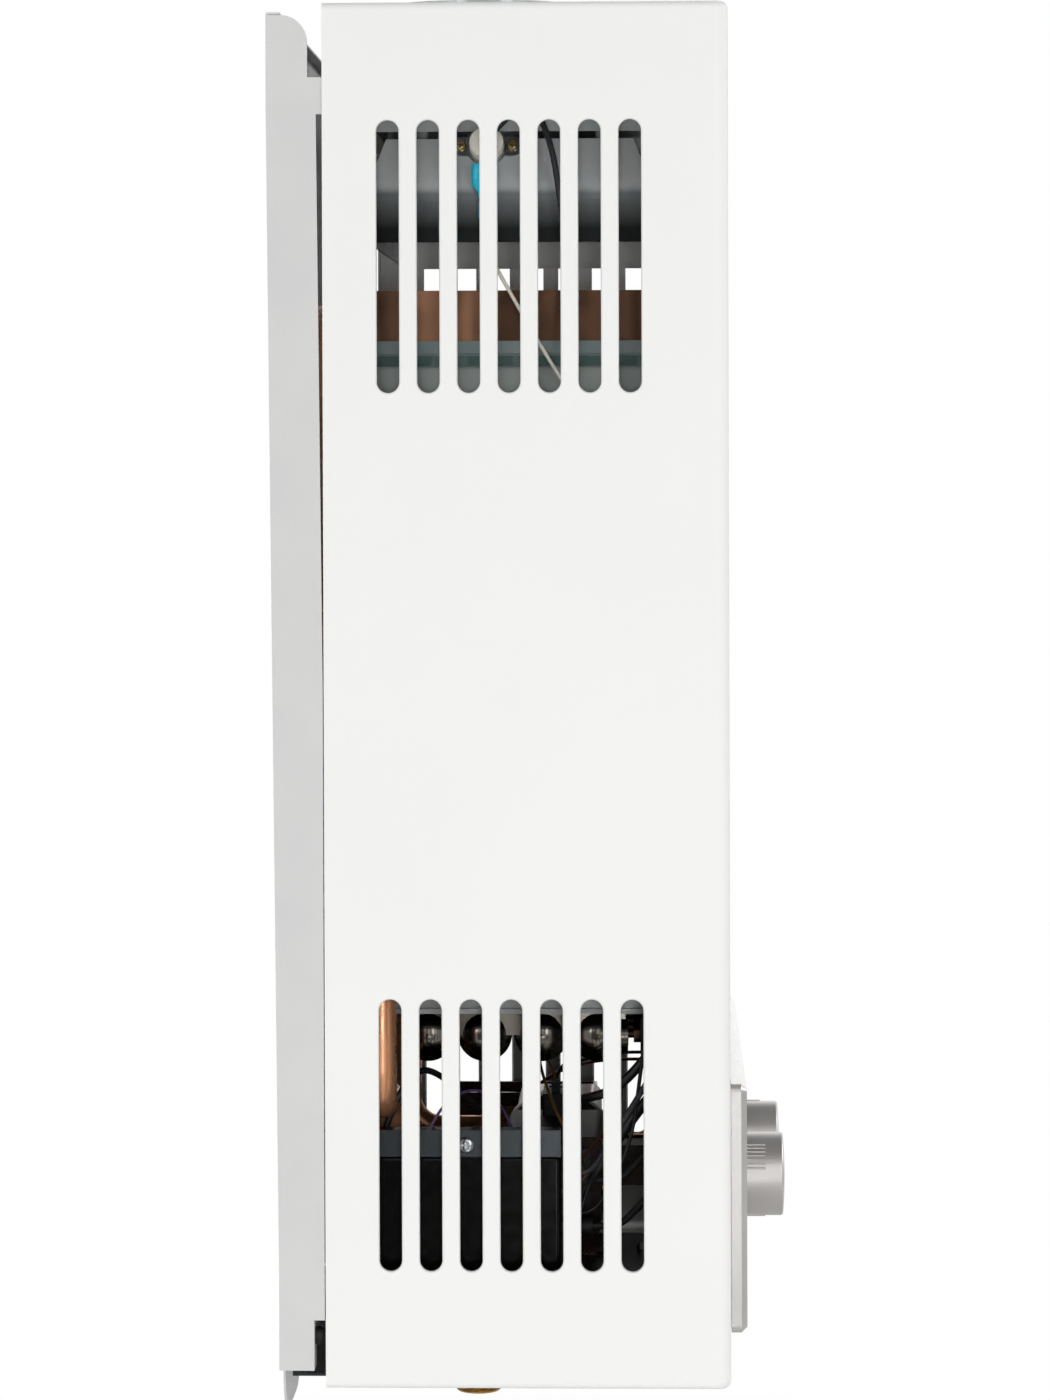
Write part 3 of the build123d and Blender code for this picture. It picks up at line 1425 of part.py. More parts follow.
def battery_box():
    """Box for two cells, open below, with a wiring well on top and the hinge ears of its door."""
    x_low, x_high, y_low, y_high = battery_limits()
    wall = battery_wall
    low = bottom_plate_low
    box = block((x_low, x_high), (y_low, y_high), (low, battery_top + wall + battery_well))
    inner = (x_low + wall, x_high - wall), (y_low + wall, y_high - wall)
    box -= block(*inner, (low - 1, battery_top))
    box -= block(*inner, (battery_top + wall, battery_top + 2 * wall + battery_well))
    box += block((x_low - 6, x_high + 6), (y_low - 4.5, y_low), (bottom_plate_top, bottom_plate_top + wall))
    hinge_y = y_high + 4
    for edge in (x_low - 2, x_high - 2):
        box += block((edge, edge + 4), (y_high - 1, hinge_y + hinge_radius), (low + 1, low + 6))
        box += block((edge, edge + 4), (hinge_y - hinge_radius, hinge_y + hinge_radius), (hinge_z, low + 2))
        box += rod((edge, hinge_y, hinge_z), (1, 0, 0), 4, hinge_radius)
    return box + rod((x_low - 2, hinge_y, hinge_z), (1, 0, 0), x_high - x_low + 4, pin_radius)


def battery_door():
    """Door under the cells, with its barrel round the hinge pin and a finger lip."""
    x_low, x_high, y_low, y_high = battery_limits()
    hinge_y = y_high + 4
    top = bottom_plate_low - door_gap
    door = block((x_low - door_margin, x_high + door_margin), (y_low - door_margin, y_high - 1),
                 (top - door_sheet, top))
    barrel_low = x_low + 2 + door_gap
    barrel_high = x_high - 2 - door_gap
    door += block((barrel_low, barrel_high), (y_high - 2, hinge_y), (top - door_sheet, top - door_sheet + 2))
    door += rod((barrel_low, hinge_y, hinge_z), (1, 0, 0), barrel_high - barrel_low, hinge_radius)
    door += block((battery_x - 8, battery_x + 8), (y_low - door_margin - 4, y_low - door_margin),
                  (top - door_sheet, top - door_sheet + 1.6))
    return door - rod((barrel_low - 1, hinge_y, hinge_z), (1, 0, 0), barrel_high - barrel_low + 2,
                      pin_radius + running_gap)


def batteries():
    """Two round cells, one upright and one upside down."""
    cells = []
    low = bottom_plate_low
    for (x, y), nub_up in zip(battery_centres(), (True, False)):
        base = low if nub_up else low + battery_nub
        cell = rod((x, y, base), (0, 0, 1), battery_length, battery_radius)
        cell = fillet(cell.edges(), 1.0)
        nub_z = base + battery_length if nub_up else low
        cells.append(cell + rod((x, y, nub_z), (0, 0, 1), battery_nub, battery_nub_radius))
    return cells


def battery_contacts():
    """Spring plates between the cells and the box's roof."""
    plates = []
    for x, y in battery_centres():
        plates.append(block((x - 7, x + 7), (y - 7, y + 7), (battery_top - contact_sheet, battery_top)))
    return plates


def self_tapping_screws():
    """Screws of the case, the panel, the thermostat and the controller."""
    screws = []
    for x in (-case_screw_x, case_screw_x):
        screws.append(screw((x, case_screw_y, case_bottom), (0, 0, 1), case_sheet + bottom_plate_gap + 5))
    for x, z in panel_screw_places():
        screws.append(screw((x, case_front + case_sheet, z), (0, -1, 0), case_sheet + 4))
    plane = thermostat_plane()
    inward = tuple(-plane.z_dir)
    for reach in (-thermostat_screw_span / 2, thermostat_screw_span / 2):
        seat = plane.from_local_coords((reach, 0, thermostat_rim))
        screws.append(screw(tuple(seat), inward, thermostat_rim + 2.5, thermostat_screw_head))
    screws.append(screw(band_screw, (1, 0, 0), band_sheet + 5))
    return screws


lead_corner_x = -case_inside + 12.2
lead_corner_y = case_front + 14.0


def black_lead():
    """Sleeved lead from the thermostat's upper terminal down the left front corner."""
    plane = thermostat_plane()
    x = plane.origin.X - 12
    y = plane.origin.Y
    return cord("black_lead", [
        (x, y - 4, case_top - 52),
        (x, y - 13, case_top - 43),
        (x - 1, y - 23, case_top - 44),
        (x - 2, y - 29, case_top - 60),
        (x - 3, y - 33, case_top - 86),
        (x - 5, y - 36, case_top - 118),
        (x - 15, y - 35, case_top - 152),
        (lead_corner_x, y - 35, case_top - 200),
        (lead_corner_x, y - 38, case_top - 250),
        (lead_corner_x, lead_corner_y + 20, case_top - 305),
        (lead_corner_x + 2, lead_corner_y, case_top - 360),
        (lead_corner_x + 3, lead_corner_y + 6, case_bottom + 178),
        (lead_corner_x + 4, controller_front - 44, case_bottom + 140),
        (lead_corner_x + 5, controller_front - 27, case_bottom + 112),
        (controller_left + 10, controller_front - 12, case_bottom + 88),
        (controller_left + 10, controller_front, case_bottom + 88),
    ], 2.6)


def white_lead():
    """Plain lead from the terminal sleeve down to the controller."""
    sleeve = terminal_sleeve().bounding_box()
    x = (sleeve.min.X + sleeve.max.X) / 2
    y = (sleeve.min.Y + sleeve.max.Y) / 2
    return cord("white_lead", [
        (x, y, sleeve.min.Z),
        (x, y, sleeve.min.Z - 9),
        (x - 1, y - 8, sleeve.min.Z - 24),
        (x - 2, y - 21, sleeve.min.Z - 47),
        (x - 3, y - 34, sleeve.min.Z - 69),
        (x - 8, y - 56, sleeve.min.Z - 100),
        (lead_corner_x + 4, lead_corner_y + 14, case_top - 235),
        (lead_corner_x + 5, lead_corner_y + 8, case_top - 290),
        (lead_corner_x + 5, lead_corner_y + 9, case_top - 345),
        (lead_corner_x + 7, lead_corner_y + 12, case_bottom + 190),
        (lead_corner_x + 9, lead_corner_y + 22, case_bottom + 150),
        (lead_corner_x + 10, controller_front - 30, case_bottom + 100),
        (controller_left + 16, controller_front - 14, case_bottom + 70),
        (controller_left + 16, controller_front, case_bottom + 70),
    ], 1.7)


def ignition_leads():
    """Spark lead and sensor lead with their rubber boots; both enter the elbow boots from below."""
    leads = []
    terminal = electrode_start - needle_tail
    end = controller_front - boot_length
    for x, offset, level in ((spark_x, 0, 83), (sensor_x, 6, 62)):
        start_x = controller_left + 23 + offset
        start_z = case_bottom + level
        run_z = electrode_z - 38 - offset
        run_y = controller_front - 60
        elbow = rod((x, terminal - boot_radius, electrode_z), (0, 1, 0), 2 * boot_radius, boot_radius)
        elbow += rod((x, terminal, electrode_z), (0, 0, -1), boot_radius + 3, boot_radius)
        elbow -= rod((x, terminal, electrode_z), (0, 1, 0), 2 * boot_radius, needle_wire + running_gap)
        end_boot = rod((start_x, controller_front, start_z), (0, -1, 0), boot_length, boot_radius)
        points = [
            (start_x, end, start_z),
            (start_x, end - 12, start_z),
            (start_x - 3, end - 25, start_z + 14),
            (start_x - 5, end - 36, start_z + 34),
            (start_x - 2, end - 44, start_z + 60),
            (start_x + 20 + 2 * offset, run_y - 1, run_z - 2),
            (start_x + 72, run_y - 1, run_z + 2),
            (start_x + 124, run_y, run_z - 1),
            (x - 14, run_y + 1, run_z + 4),
            (x, terminal, electrode_z - 24),
            (x, terminal, electrode_z - boot_radius - 3),
        ]
        leads.append(cord("ignition_lead", points, 3.0) + end_boot + elbow)
    return leads


nodes = {
    "front_case": front_case,
    "back_plate": back_plate,
    "case_buffers": case_buffers,
    "bottom_plate": bottom_plate,
    "engine_brackets": engine_brackets,
    "self_tapping_screws": self_tapping_screws,
    "flue_collar": flue_collar,
    "flue_hood": flue_hood,
    "heat_shield": heat_shield,
    "exchanger_shell": exchanger_shell,
    "exchanger_fins": exchanger_fins,
    "exchanger_tubes": exchanger_tubes,
    "return_bends": return_bends,
    "combustion_chamber": combustion_chamber,
    "cold_water_pipe": cold_water_pipe,
    "hot_water_pipe": hot_water_pipe,
    "pipe_union_nuts": pipe_union_nuts,
    "burner_frame": burner_frame,
    "burner_blades": burner_blades,
    "gas_manifold": gas_manifold,
    "gas_nozzles": gas_nozzles,
    "spark_electrode": lambda: electrode(spark_x),
    "flame_sensor": lambda: electrode(sensor_x),
    "electrode_bracket": electrode_bracket,
    "gas_valve_body": gas_valve_body,
    "gas_connector": gas_connector,
    "gas_poppet": gas_poppet,
    "poppet_spring": poppet_spring,
    "solenoid_coil": solenoid_coil,
    "solenoid_plunger": solenoid_plunger,
    "gas_spindle": lambda: spindle(gas_x, plug_radius, plug_length, plug_bore),
    "water_spindle": lambda: spindle(water_x, needle_radius, needle_length, plug_bore),
    "spindle_bonnets": spindle_bonnets,
    "gas_knob": lambda: knob(gas_x, gas_knob_rest),
    "water_knob": lambda: knob(water_x, water_knob_rest),
    "water_valve_body": water_valve_body,
    "diaphragm_cover": diaphragm_cover,
    "diaphragm": diaphragm,
    "push_rod": push_rod,
    "inlet_filter": inlet_filter,
    "cold_water_connector": cold_water_connector,
    "hot_water_connector": hot_water_connector,
    "drain_plug": drain_plug,
    "valve_screws": valve_screws,
    "microswitch": microswitch,
    "switch_lever": switch_lever,
    "control_panel": control_panel,
    "display_window": display_window,
    "display_board": display_board,
    "controller_bracket": controller_bracket,
    "ignition_controller": ignition_controller,
    "battery_box": battery_box,
    "battery_door": battery_door,
    "batteries": batteries,
    "battery_contacts": battery_contacts,
    "overheat_thermostat": overheat_thermostat,
    "terminal_sleeve": terminal_sleeve,
    "black_lead": black_lead,
    "white_lead": white_lead,
    "ignition_leads": ignition_leads,
}

for name, make in nodes.items():
    made = make()
    save(name, *(made if isinstance(made, (list, tuple)) else [made]))
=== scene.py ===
"""Gas water heater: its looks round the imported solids. Metres, front towards -Y, Z up."""

import math

import bmesh
import bpy
from mathutils import Matrix, Vector


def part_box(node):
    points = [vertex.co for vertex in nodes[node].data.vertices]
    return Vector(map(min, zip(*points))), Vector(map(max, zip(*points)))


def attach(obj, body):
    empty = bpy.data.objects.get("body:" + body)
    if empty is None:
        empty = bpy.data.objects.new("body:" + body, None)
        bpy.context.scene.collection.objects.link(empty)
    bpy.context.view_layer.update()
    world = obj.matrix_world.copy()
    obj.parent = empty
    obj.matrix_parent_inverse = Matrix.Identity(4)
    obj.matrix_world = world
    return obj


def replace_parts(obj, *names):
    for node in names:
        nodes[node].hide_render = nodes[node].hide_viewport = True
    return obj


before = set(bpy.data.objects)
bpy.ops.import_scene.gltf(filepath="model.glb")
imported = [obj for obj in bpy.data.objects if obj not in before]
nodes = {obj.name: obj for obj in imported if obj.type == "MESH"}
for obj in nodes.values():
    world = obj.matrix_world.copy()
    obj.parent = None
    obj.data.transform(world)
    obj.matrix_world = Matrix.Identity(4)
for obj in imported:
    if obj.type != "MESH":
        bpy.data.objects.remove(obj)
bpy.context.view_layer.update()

MM = 0.001


def corner(node, side, axis):
    """One limit of a CAD node's box in millimetres: side 0 is low, 1 is high."""
    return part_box(node)[side]["XYZ".index(axis)] / MM


# Camera, as the photograph was taken: level with the upper third, square to the left side

VIEW_POINT = Vector((-1.985, -0.1666, -0.1634))
VIEW_YAW = 1.803
VIEW_PITCH = -0.475
VIEW_ROLL = -0.174
VIEW_LENS = 109.12
VIEW_SHIFT = -0.1568


def make_camera():
    """Long lens on the left side, turned a little towards the wall."""
    data = bpy.data.cameras.new("side_view")
    data.lens = VIEW_LENS
    data.sensor_width = 36.0
    data.shift_y = VIEW_SHIFT
    camera = bpy.data.objects.new("side_view", data)
    bpy.context.scene.collection.objects.link(camera)
    aim = Vector((math.cos(math.radians(VIEW_YAW)), math.sin(math.radians(VIEW_YAW)),
                  math.tan(math.radians(VIEW_PITCH))))
    turn = aim.to_track_quat("-Z", "Y").to_matrix().to_4x4()
    roll = Matrix.Rotation(math.radians(VIEW_ROLL), 4, "Z")
    camera.matrix_world = Matrix.Translation(VIEW_POINT) @ turn @ roll
    bpy.context.scene.camera = camera


def make_light(name, place, target, width, height, power, mirrored):
    """One soft box, aimed at a point; shiny parts show it if it is mirrored."""
    data = bpy.data.lights.new(name, "AREA")
    data.shape = "RECTANGLE"
    data.size = width
    data.size_y = height
    data.energy = power
    lamp = bpy.data.objects.new(name, data)
    lamp.location = place
    lamp.visible_glossy = mirrored
    lamp.rotation_mode = "QUATERNION"
    lamp.rotation_quaternion = (Vector(target) - Vector(place)).to_track_quat("-Z", "Y")
    bpy.context.scene.collection.objects.link(lamp)


def add(tree, kind, inputs=None, **settings):
    """Adds a node; an input is a constant or the socket that feeds it."""
    node = tree.nodes.new(kind)
    for name, value in settings.items():
        setattr(node, name, value)
    for name, value in (inputs or {}).items():
        if isinstance(value, bpy.types.NodeSocket):
            tree.links.new(value, node.inputs[name])
        else:
            node.inputs[name].default_value = value
    return node


def larger(tree, first, second):
    """Larger of two values."""
    return add(tree, "ShaderNodeMath", {0: first, 1: second}, operation="MAXIMUM").outputs[0]


def linear(hex_colour):
    """Linear colour of an sRGB hex value."""
    shares = [int(hex_colour[start:start + 2], 16) / 255 for start in (1, 3, 5)]
    values = [share / 12.92 if share <= 0.04045 else ((share + 0.055) / 1.055) ** 2.4 for share in shares]
    return (*values, 1.0)


class Surface:
    """A Principled material on Object coordinates, to which patterns are added."""

    def __init__(self, name, colour, roughness, metallic=0.0, **sockets):
        self.material = bpy.data.materials.new(name)
        self.material.use_nodes = True
        self.tree = self.material.node_tree
        self.tree.nodes.clear()
        values = {"Base Color": linear(colour), "Roughness": roughness, "Metallic": metallic}
        values.update({key.replace("_", " "): value for key, value in sockets.items()})
        self.shader = add(self.tree, "ShaderNodeBsdfPrincipled", values)
        add(self.tree, "ShaderNodeOutputMaterial", {"Surface": self.shader.outputs[0]})
        self.place = add(self.tree, "ShaderNodeTexCoord").outputs["Object"]
        self.colour = None
        self.base = linear(colour)

    def noise(self, size_mm, detail=2.0, stretch=(1, 1, 1), low=0.35, high=0.65):
        """Cloudy pattern from 0 to 1 whose blots are about size_mm across."""
        mapped = add(self.tree, "ShaderNodeMapping", {"Vector": self.place, "Scale": stretch})
        cloud = add(self.tree, "ShaderNodeTexNoise",
                    {"Vector": mapped.outputs[0], "Scale": 1 / (size_mm * MM), "Detail": detail})
        return add(self.tree, "ShaderNodeMapRange",
                   {"Value": cloud.outputs[0], "From Min": low, "From Max": high}).outputs[0]

    def cells(self, size_mm):
        """Flat cells of random grey, about size_mm across."""
        scale = 1 / (size_mm * MM)
        crystal = add(self.tree, "ShaderNodeTexVoronoi", {"Vector": self.place, "Scale": scale})
        return add(self.tree, "ShaderNodeSeparateColor", {"Color": crystal.outputs["Color"]}).outputs[0]

    def limits(self, axis, low, high):
        """Runs from 0 at low to 1 at high along an object axis, in metres."""
        value = add(self.tree, "ShaderNodeSeparateXYZ", {"Vector": self.place}).outputs[axis]
        ramp = {"Value": value, "From Min": low, "From Max": high}
        return add(self.tree, "ShaderNodeMapRange", ramp).outputs[0]

    def both(self, first, second):
        """Product of two shares."""
        return add(self.tree, "ShaderNodeMath", {0: first, 1: second}, operation="MULTIPLY").outputs[0]

    def tint(self, share, colour, amount=1.0):
        """Mixes another colour over the base where share is 1."""
        weight = add(self.tree, "ShaderNodeMath", {0: share, 1: amount}, operation="MULTIPLY")
        before = self.colour if self.colour is not None else self.base
        mix = add(self.tree, "ShaderNodeMix", {0: weight.outputs[0], 6: before, 7: linear(colour)},
                  data_type="RGBA")
        self.colour = mix.outputs[2]
        self.tree.links.new(self.colour, self.shader.inputs["Base Color"])
        return self

    def vary(self, share, low, high, socket="Roughness"):
        """Roughness, or another value of the shader, runs from low to high with share."""
        spread = add(self.tree, "ShaderNodeMapRange", {"Value": share, "To Min": low, "To Max": high})
        self.tree.links.new(spread.outputs[0], self.shader.inputs[socket])
        return self

    def relief(self, height, depth_mm, strength=1.0):
        """Surface relief of depth_mm where height runs from 0 to 1."""
        bump = add(self.tree, "ShaderNodeBump",
                   {"Height": height, "Distance": depth_mm * MM, "Strength": strength})
        if self.shader.inputs["Normal"].is_linked:
            self.tree.links.new(self.shader.inputs["Normal"].links[0].from_socket, bump.inputs["Normal"])
        self.tree.links.new(bump.outputs[0], self.shader.inputs["Normal"])
        return self


def enamel():
    """White stove enamel on pressed steel: smooth and satin, with a faint orange peel."""
    made = Surface("stove_enamel_white", "#F1F1EF", 0.4, Specular_IOR_Level=0.3)
    made.tint(made.noise(90, 1, low=0.2, high=0.8), "#EDEEEC", 0.5)
    made.vary(made.noise(40, 1, low=0.2, high=0.8), 0.38, 0.43)
    # The inner side, low down, is painted darker grey as painted shade, where little light reaches; it
    # shows through the far side's slots.
    inside = made.both(made.limits("X", 0.1846, 0.1843), made.limits("X", 0.1837, 0.1840))
    within = made.both(made.limits("Y", -0.192, -0.190), made.limits("Z", -0.562, -0.560))
    low = made.both(within, made.limits("Z", -0.35, -0.40))
    made.tint(made.both(inside, low), "#7E7F7D", 0.95)
    # Orange peel of enamel is 1 to 2 mm across; drawn at 2.2 mm so that it shows.
    return made.relief(made.noise(2.2, 1), 0.006, 0.5).material


def powder_coat():
    """Powder-coated steel sheet, light grey: dull, with a fine pebbled skin."""
    made = Surface("powder_coat_light_grey", "#D3D3D2", 0.45)
    made.tint(made.noise(35), "#CBCCCC", 0.5)
    return made.relief(made.noise(1.2, 2), 0.02, 0.6).material


def galvanised():
    """Hot-dip galvanised sheet: crystals of spangle, each with its own grey."""
    spangle = 4.0
    made = Surface("galvanised_steel", "#A9ADAE", 0.4, 0.8)
    made.tint(made.cells(spangle), "#8A8F91", 0.35)
    made.tint(made.noise(40, 3), "#BFC3C3", 0.3)
    return made.vary(made.cells(spangle), 0.34, 0.46).material


def formed_hood():
    """Aluminised hood sheet: grey, with upright drawing streaks, smudges and a few pale scuffs.

    The facet and the inner walls are dull. The outer skirt is painted dark from under its bend down, as
    painted shade and painted dark reflection, and the far inner wall is painted near white as painted
    light."""
    made = Surface("formed_aluminised_sheet", "#B4B8B8", 0.38, 0.8)
    made.tint(made.noise(9, 3, (1, 1, 0.15)), "#979C9D", 0.4)
    made.tint(made.noise(26, 4), "#C6C9C9", 0.3)
    made.tint(made.noise(1.6, 3, (1, 1, 0.3), 0.68, 0.74), "#E6E8E7", 0.4)
    # Outer face: painted mid grey over the bend and near black down the skirt, as painted shade and painted
    # dark reflection.
    painted_shade_outer_face = made.limits("X", -0.1392, -0.1398)
    made.tint(made.both(made.limits("Z", -0.050, -0.054), painted_shade_outer_face), "#5E6263", 0.8)
    made.tint(made.both(made.limits("Z", -0.056, -0.069), painted_shade_outer_face), "#181B1C", 0.96)
    # The far inner wall is painted near white as painted light, since little light reaches it under the
    # near skirt; it is also made dull.
    inside = made.both(made.limits("Z", -0.052, -0.054), made.limits("X", 0.136, 0.138))
    facet = made.limits("Z", -0.054, -0.049)
    dim = made.both(facet, 0.75)
    made.tint(inside, "#F2F3F2", 0.95)
    made.vary(larger(made.tree, inside, dim), 0.8, 0.0, "Metallic")
    return made.vary(made.noise(12, 3), 0.3, 0.45).material


def copper_sheet():
    """Rolled copper of the exchanger, tinted by heat: dark brown clouds in upright bands, partly heat tint
    and partly painted dark reflection, and painted upright sheens as painted highlights.
    """
    made = Surface("heat_tinted_copper_painted_sheens", "#8C6751", 0.34, 0.9)
    # Dark brown upright bands: heat tint, and partly painted dark reflection.
    made.tint(made.noise(60, 1, (1, 1, 0.02), 0.4, 0.6), "#3E2E24", 0.75)
    # Pale upright streaks: painted sheens, standing in for highlights.
    made.tint(made.noise(18, 1, (1, 1, 0.03), 0.57, 0.68), "#D9A27C", 0.75)
    made.tint(made.noise(16, 3, low=0.62, high=0.74), "#9A603B", 0.3)
    made.vary(made.noise(14, 2), 0.28, 0.4)
    return made.relief(made.noise(30, 1, (1, 1, 0.06), 0.3, 0.7), 1.4).material


def copper_pipe():
    """Drawn copper tube: bright, with brown handling clouds."""
    made = Surface("drawn_copper_tube", "#EBAA80", 0.28, 0.6)
    made.tint(made.noise(26, 1), "#CE8E65", 0.4)
    return made.vary(made.noise(12, 1), 0.2, 0.32).material


def dipped_chamber():
    """Copper sheet dipped in lead-tin against condensate: teal grey rim, paler wall with run marks."""
    made = Surface("dipped_tin_coating", "#7D8888", 0.42, 0.4)
    made.tint(made.noise(30, 4, (1, 1, 0.3)), "#6A7A7A", 0.5)
    made.tint(made.limits("Z", -0.1244, -0.1246), "#3A5450", 0.9)
    made.tint(made.limits("Z", -0.1288, -0.1292), "#9AA19E", 0.95)
    made.tint(made.noise(12, 3, (1, 1, 0.3), 0.58, 0.75), "#A9B3B3", 0.4)
    return made.relief(made.noise(5, 2, (1, 1, 0.3)), 0.1, 0.5).material


def turned_brass(name="turned_brass", colour="#C2A05C", shade="#9C7A40"):
    """Machined brass fittings: warm, with fine tool marks round the axis."""
    made = Surface(name, colour, 0.3, 1.0)
    made.tint(made.noise(10, 3), shade, 0.4)
    # Tool marks are about 0.2 mm apart; drawn at 0.6 mm so that they show.
    return made.relief(made.noise(0.6, 1, (0.15, 0.15, 1)), 0.01, 0.5).material


def pressed_stainless():
    """Stainless burners: smooth and bright, browned by the flame towards the ports."""
    made = Surface("pressed_stainless_steel", "#8A847B", 0.2, 1.0)
    made.tint(made.limits("Z", -0.408, -0.374), "#6C5646", 0.8)
    made.tint(made.noise(24, 1), "#716B63", 0.4)
    return made.vary(made.noise(16, 1), 0.16, 0.24).material


def cold_rolled_frame():
    """Burner frame of coated steel: mid grey, dulled by condensate."""
    made = Surface("aluminised_steel", "#A9ABAB", 0.4, 0.8)
    made.tint(made.noise(14, 3), "#8C8F90", 0.45)
    return made.vary(made.noise(6, 2), 0.34, 0.5).material


def zinc_plate(name="zinc_plated_steel", colour="#C9CCCF", cloud="#9DA2A6"):
    """Zinc-plated small steel parts: bright and slightly cloudy."""
    made = Surface(name, colour, 0.25, 1.0)
    made.tint(made.noise(3, 2), cloud, 0.4)
    return made.material


def die_cast():
    """Bronzed die casting of the gas valve, shot-blasted: dark brown with a fine grain."""
    made = Surface("bronzed_die_casting", "#2A211C", 0.5, 0.3)
    made.tint(made.noise(16, 3), "#1D1714", 0.5)
    # Blast grain is about 0.2 mm; drawn at 0.7 mm so that it shows.
    return made.relief(made.noise(0.7, 1), 0.03, 0.7).material


def lacquered_plastic():
    """ABS with satin silver lacquer: a fine metal flake under a soft sheen."""
    made = Surface("silver_lacquered_abs", "#BBB9B6", 0.34, 0.6, Coat_Weight=0.7, Coat_Roughness=0.2)
    # Flakes are 0.05 mm; drawn at 0.5 mm so that they show.
    made.tint(made.cells(0.5), "#BCBAB7", 0.25)
    made.tint(made.noise(45), "#D6D4D1", 0.3)
    return made.vary(made.noise(2, 2), 0.3, 0.4).material


def metallised_knob():
    """ABS metallised and lacquered: spun satin sheen, with fine rings of the finishing."""
    made = Surface("metallised_abs", "#C6C3C1", 0.4, 0.95)
    made.tint(made.noise(30, 1), "#BDB9B7", 0.3)
    # Rings are 0.1 mm apart; drawn at 0.7 mm so that they show.
    return made.relief(made.noise(0.7, 1, (0.05, 1, 0.05)), 0.004, 0.4).material


def moulded(name, colour, roughness, pale, grain_mm=0.9, depth_mm=0.02, specular=0.5):
    """Injection-moulded plastic: a faint flow pattern and spark-eroded grain."""
    made = Surface(name, colour, roughness, Specular_IOR_Level=specular)
    made.tint(made.noise(20, 2), pale, 0.35)
    made.vary(made.noise(4, 2), roughness * 0.85, roughness * 1.2)
    return made.relief(made.noise(grain_mm, 1), depth_mm, 0.5).material


def rubber():
    """Moulded EPDM rubber: nearly black, dull, dusty in the hollows."""
    made = Surface("moulded_epdm_rubber", "#121213", 0.6)
    made.tint(made.noise(6, 3, low=0.5, high=0.75), "#2A2A2B", 0.5)
    return made.relief(made.noise(0.8, 2), 0.02, 0.6).material


def braided_sleeving():
    """Braided glass-fibre sleeving, black: crossing strands about 0.8 mm apart."""
    made = Surface("braided_black_sleeving", "#17171A", 0.5)
    waves = []
    strand = 0.8 * MM
    for lean in (0.9, -0.9):
        mapped = add(made.tree, "ShaderNodeMapping", {"Vector": made.place, "Rotation": (lean, 0, 0)})
        scale = 0.5 / strand / 3.14
        wave = add(made.tree, "ShaderNodeTexWave", {"Vector": mapped.outputs[0], "Scale": scale},
                   bands_direction="Z")
        waves.append(wave.outputs["Fac"])
    cross = larger(made.tree, *waves)
    made.tint(cross, "#3B3B40", 0.6)
    return made.relief(cross, 0.15, 0.8).material


def wire_jacket(name, colour, roughness=0.35):
    """Extruded PVC or PTFE wire jacket: smooth and slightly waxy."""
    made = Surface(name, colour, roughness)
    made.tint(made.noise(5, 2), "#7A7670", 0.05)
    return made


def sleeved_wire():
    """Off-white wire that runs in black sleeving below the exchanger."""
    made = wire_jacket("white_wire_in_sleeving", "#E9E4D6")
    return made.tint(made.limits("Z", -0.3300, -0.3302), "#161618").material


def steatite(name="steatite_ceramic", colour="#EDE4D0"):
    """Pressed steatite, unglazed: cream, chalky, lightly speckled."""
    made = Surface(name, colour, 0.55, Subsurface_Weight=0.05, Subsurface_Scale=0.001)
    made.tint(made.noise(1.2, 2, low=0.6, high=0.75), "#C9B892", 0.4)
    return made.relief(made.noise(0.5, 1), 0.01, 0.5).material


def smoked_window():
    """Smoked polycarbonate of the display: dark, glossy, lets the digits through."""
    made = Surface("smoked_polycarbonate", "#1A1D22", 0.06, Transmission_Weight=0.55, IOR=1.58,
                   Coat_Weight=0.5, Coat_Roughness=0.03)
    return made.vary(made.noise(25), 0.04, 0.08).material


def solder_mask():
    """Glass-epoxy board under green solder mask, with a copper grid shining through."""
    made = Surface("green_solder_mask", "#1E5A34", 0.3)
    made.tint(made.cells(3.0), "#2C7748", 0.5)
    return made.relief(made.cells(3.0), 0.03, 0.4).material


def cell_jacket():
    """Shrink jacket of a dry cell: plain blue band over steel, with a metal end."""
    made = Surface("dry_cell_jacket", "#2E4F80", 0.28, 0.3, Coat_Weight=0.4)
    made.tint(made.noise(14, 2), "#263F66", 0.5)
    return made.tint(made.limits("Z", -0.5202, -0.5200), "#B98A3E").material


def printed_ink():
    """Pad-printed grey ink of the dial marks."""
    made = Surface("pad_printed_ink", "#4A4D52", 0.5)
    return made.tint(made.noise(2, 2), "#5C5F64", 0.4).material


def indicator_paint():
    """White paint in the pointer groove."""
    made = Surface("indicator_paint", "#ECECEA", 0.45)
    return made.tint(made.noise(1.5, 2), "#D8D8D5", 0.5).material


def lcd_glass():
    """Reflective display behind the digits: pale grey-green."""
    made = Surface("display_film", "#8C9A88", 0.35)
    return made.tint(made.noise(8, 2), "#97A593", 0.5).material


ENAMEL = enamel()
PLATE_COAT = powder_coat()
GALVANISED = galvanised()
HOOD_SHEET = formed_hood()
COPPER_SHEET = copper_sheet()
COPPER_PIPE = copper_pipe()
# A dark copy of the zinc plate, as painted shade, for the bottom plate and the controller bracket's band,
# which lie in shadow inside the case.
PAINTED_SHADE_ZINC = zinc_plate("dark_zinc_plate_painted_shade", "#4B5053", "#3C4144")
DIPPED = dipped_chamber()
BRASS = turned_brass()
STAINLESS = pressed_stainless()
FRAME_STEEL = cold_rolled_frame()
ZINC = zinc_plate()
YELLOW_ZINC = zinc_plate("yellow_passivated_steel", "#D2B877")
DARK_CAST = die_cast()
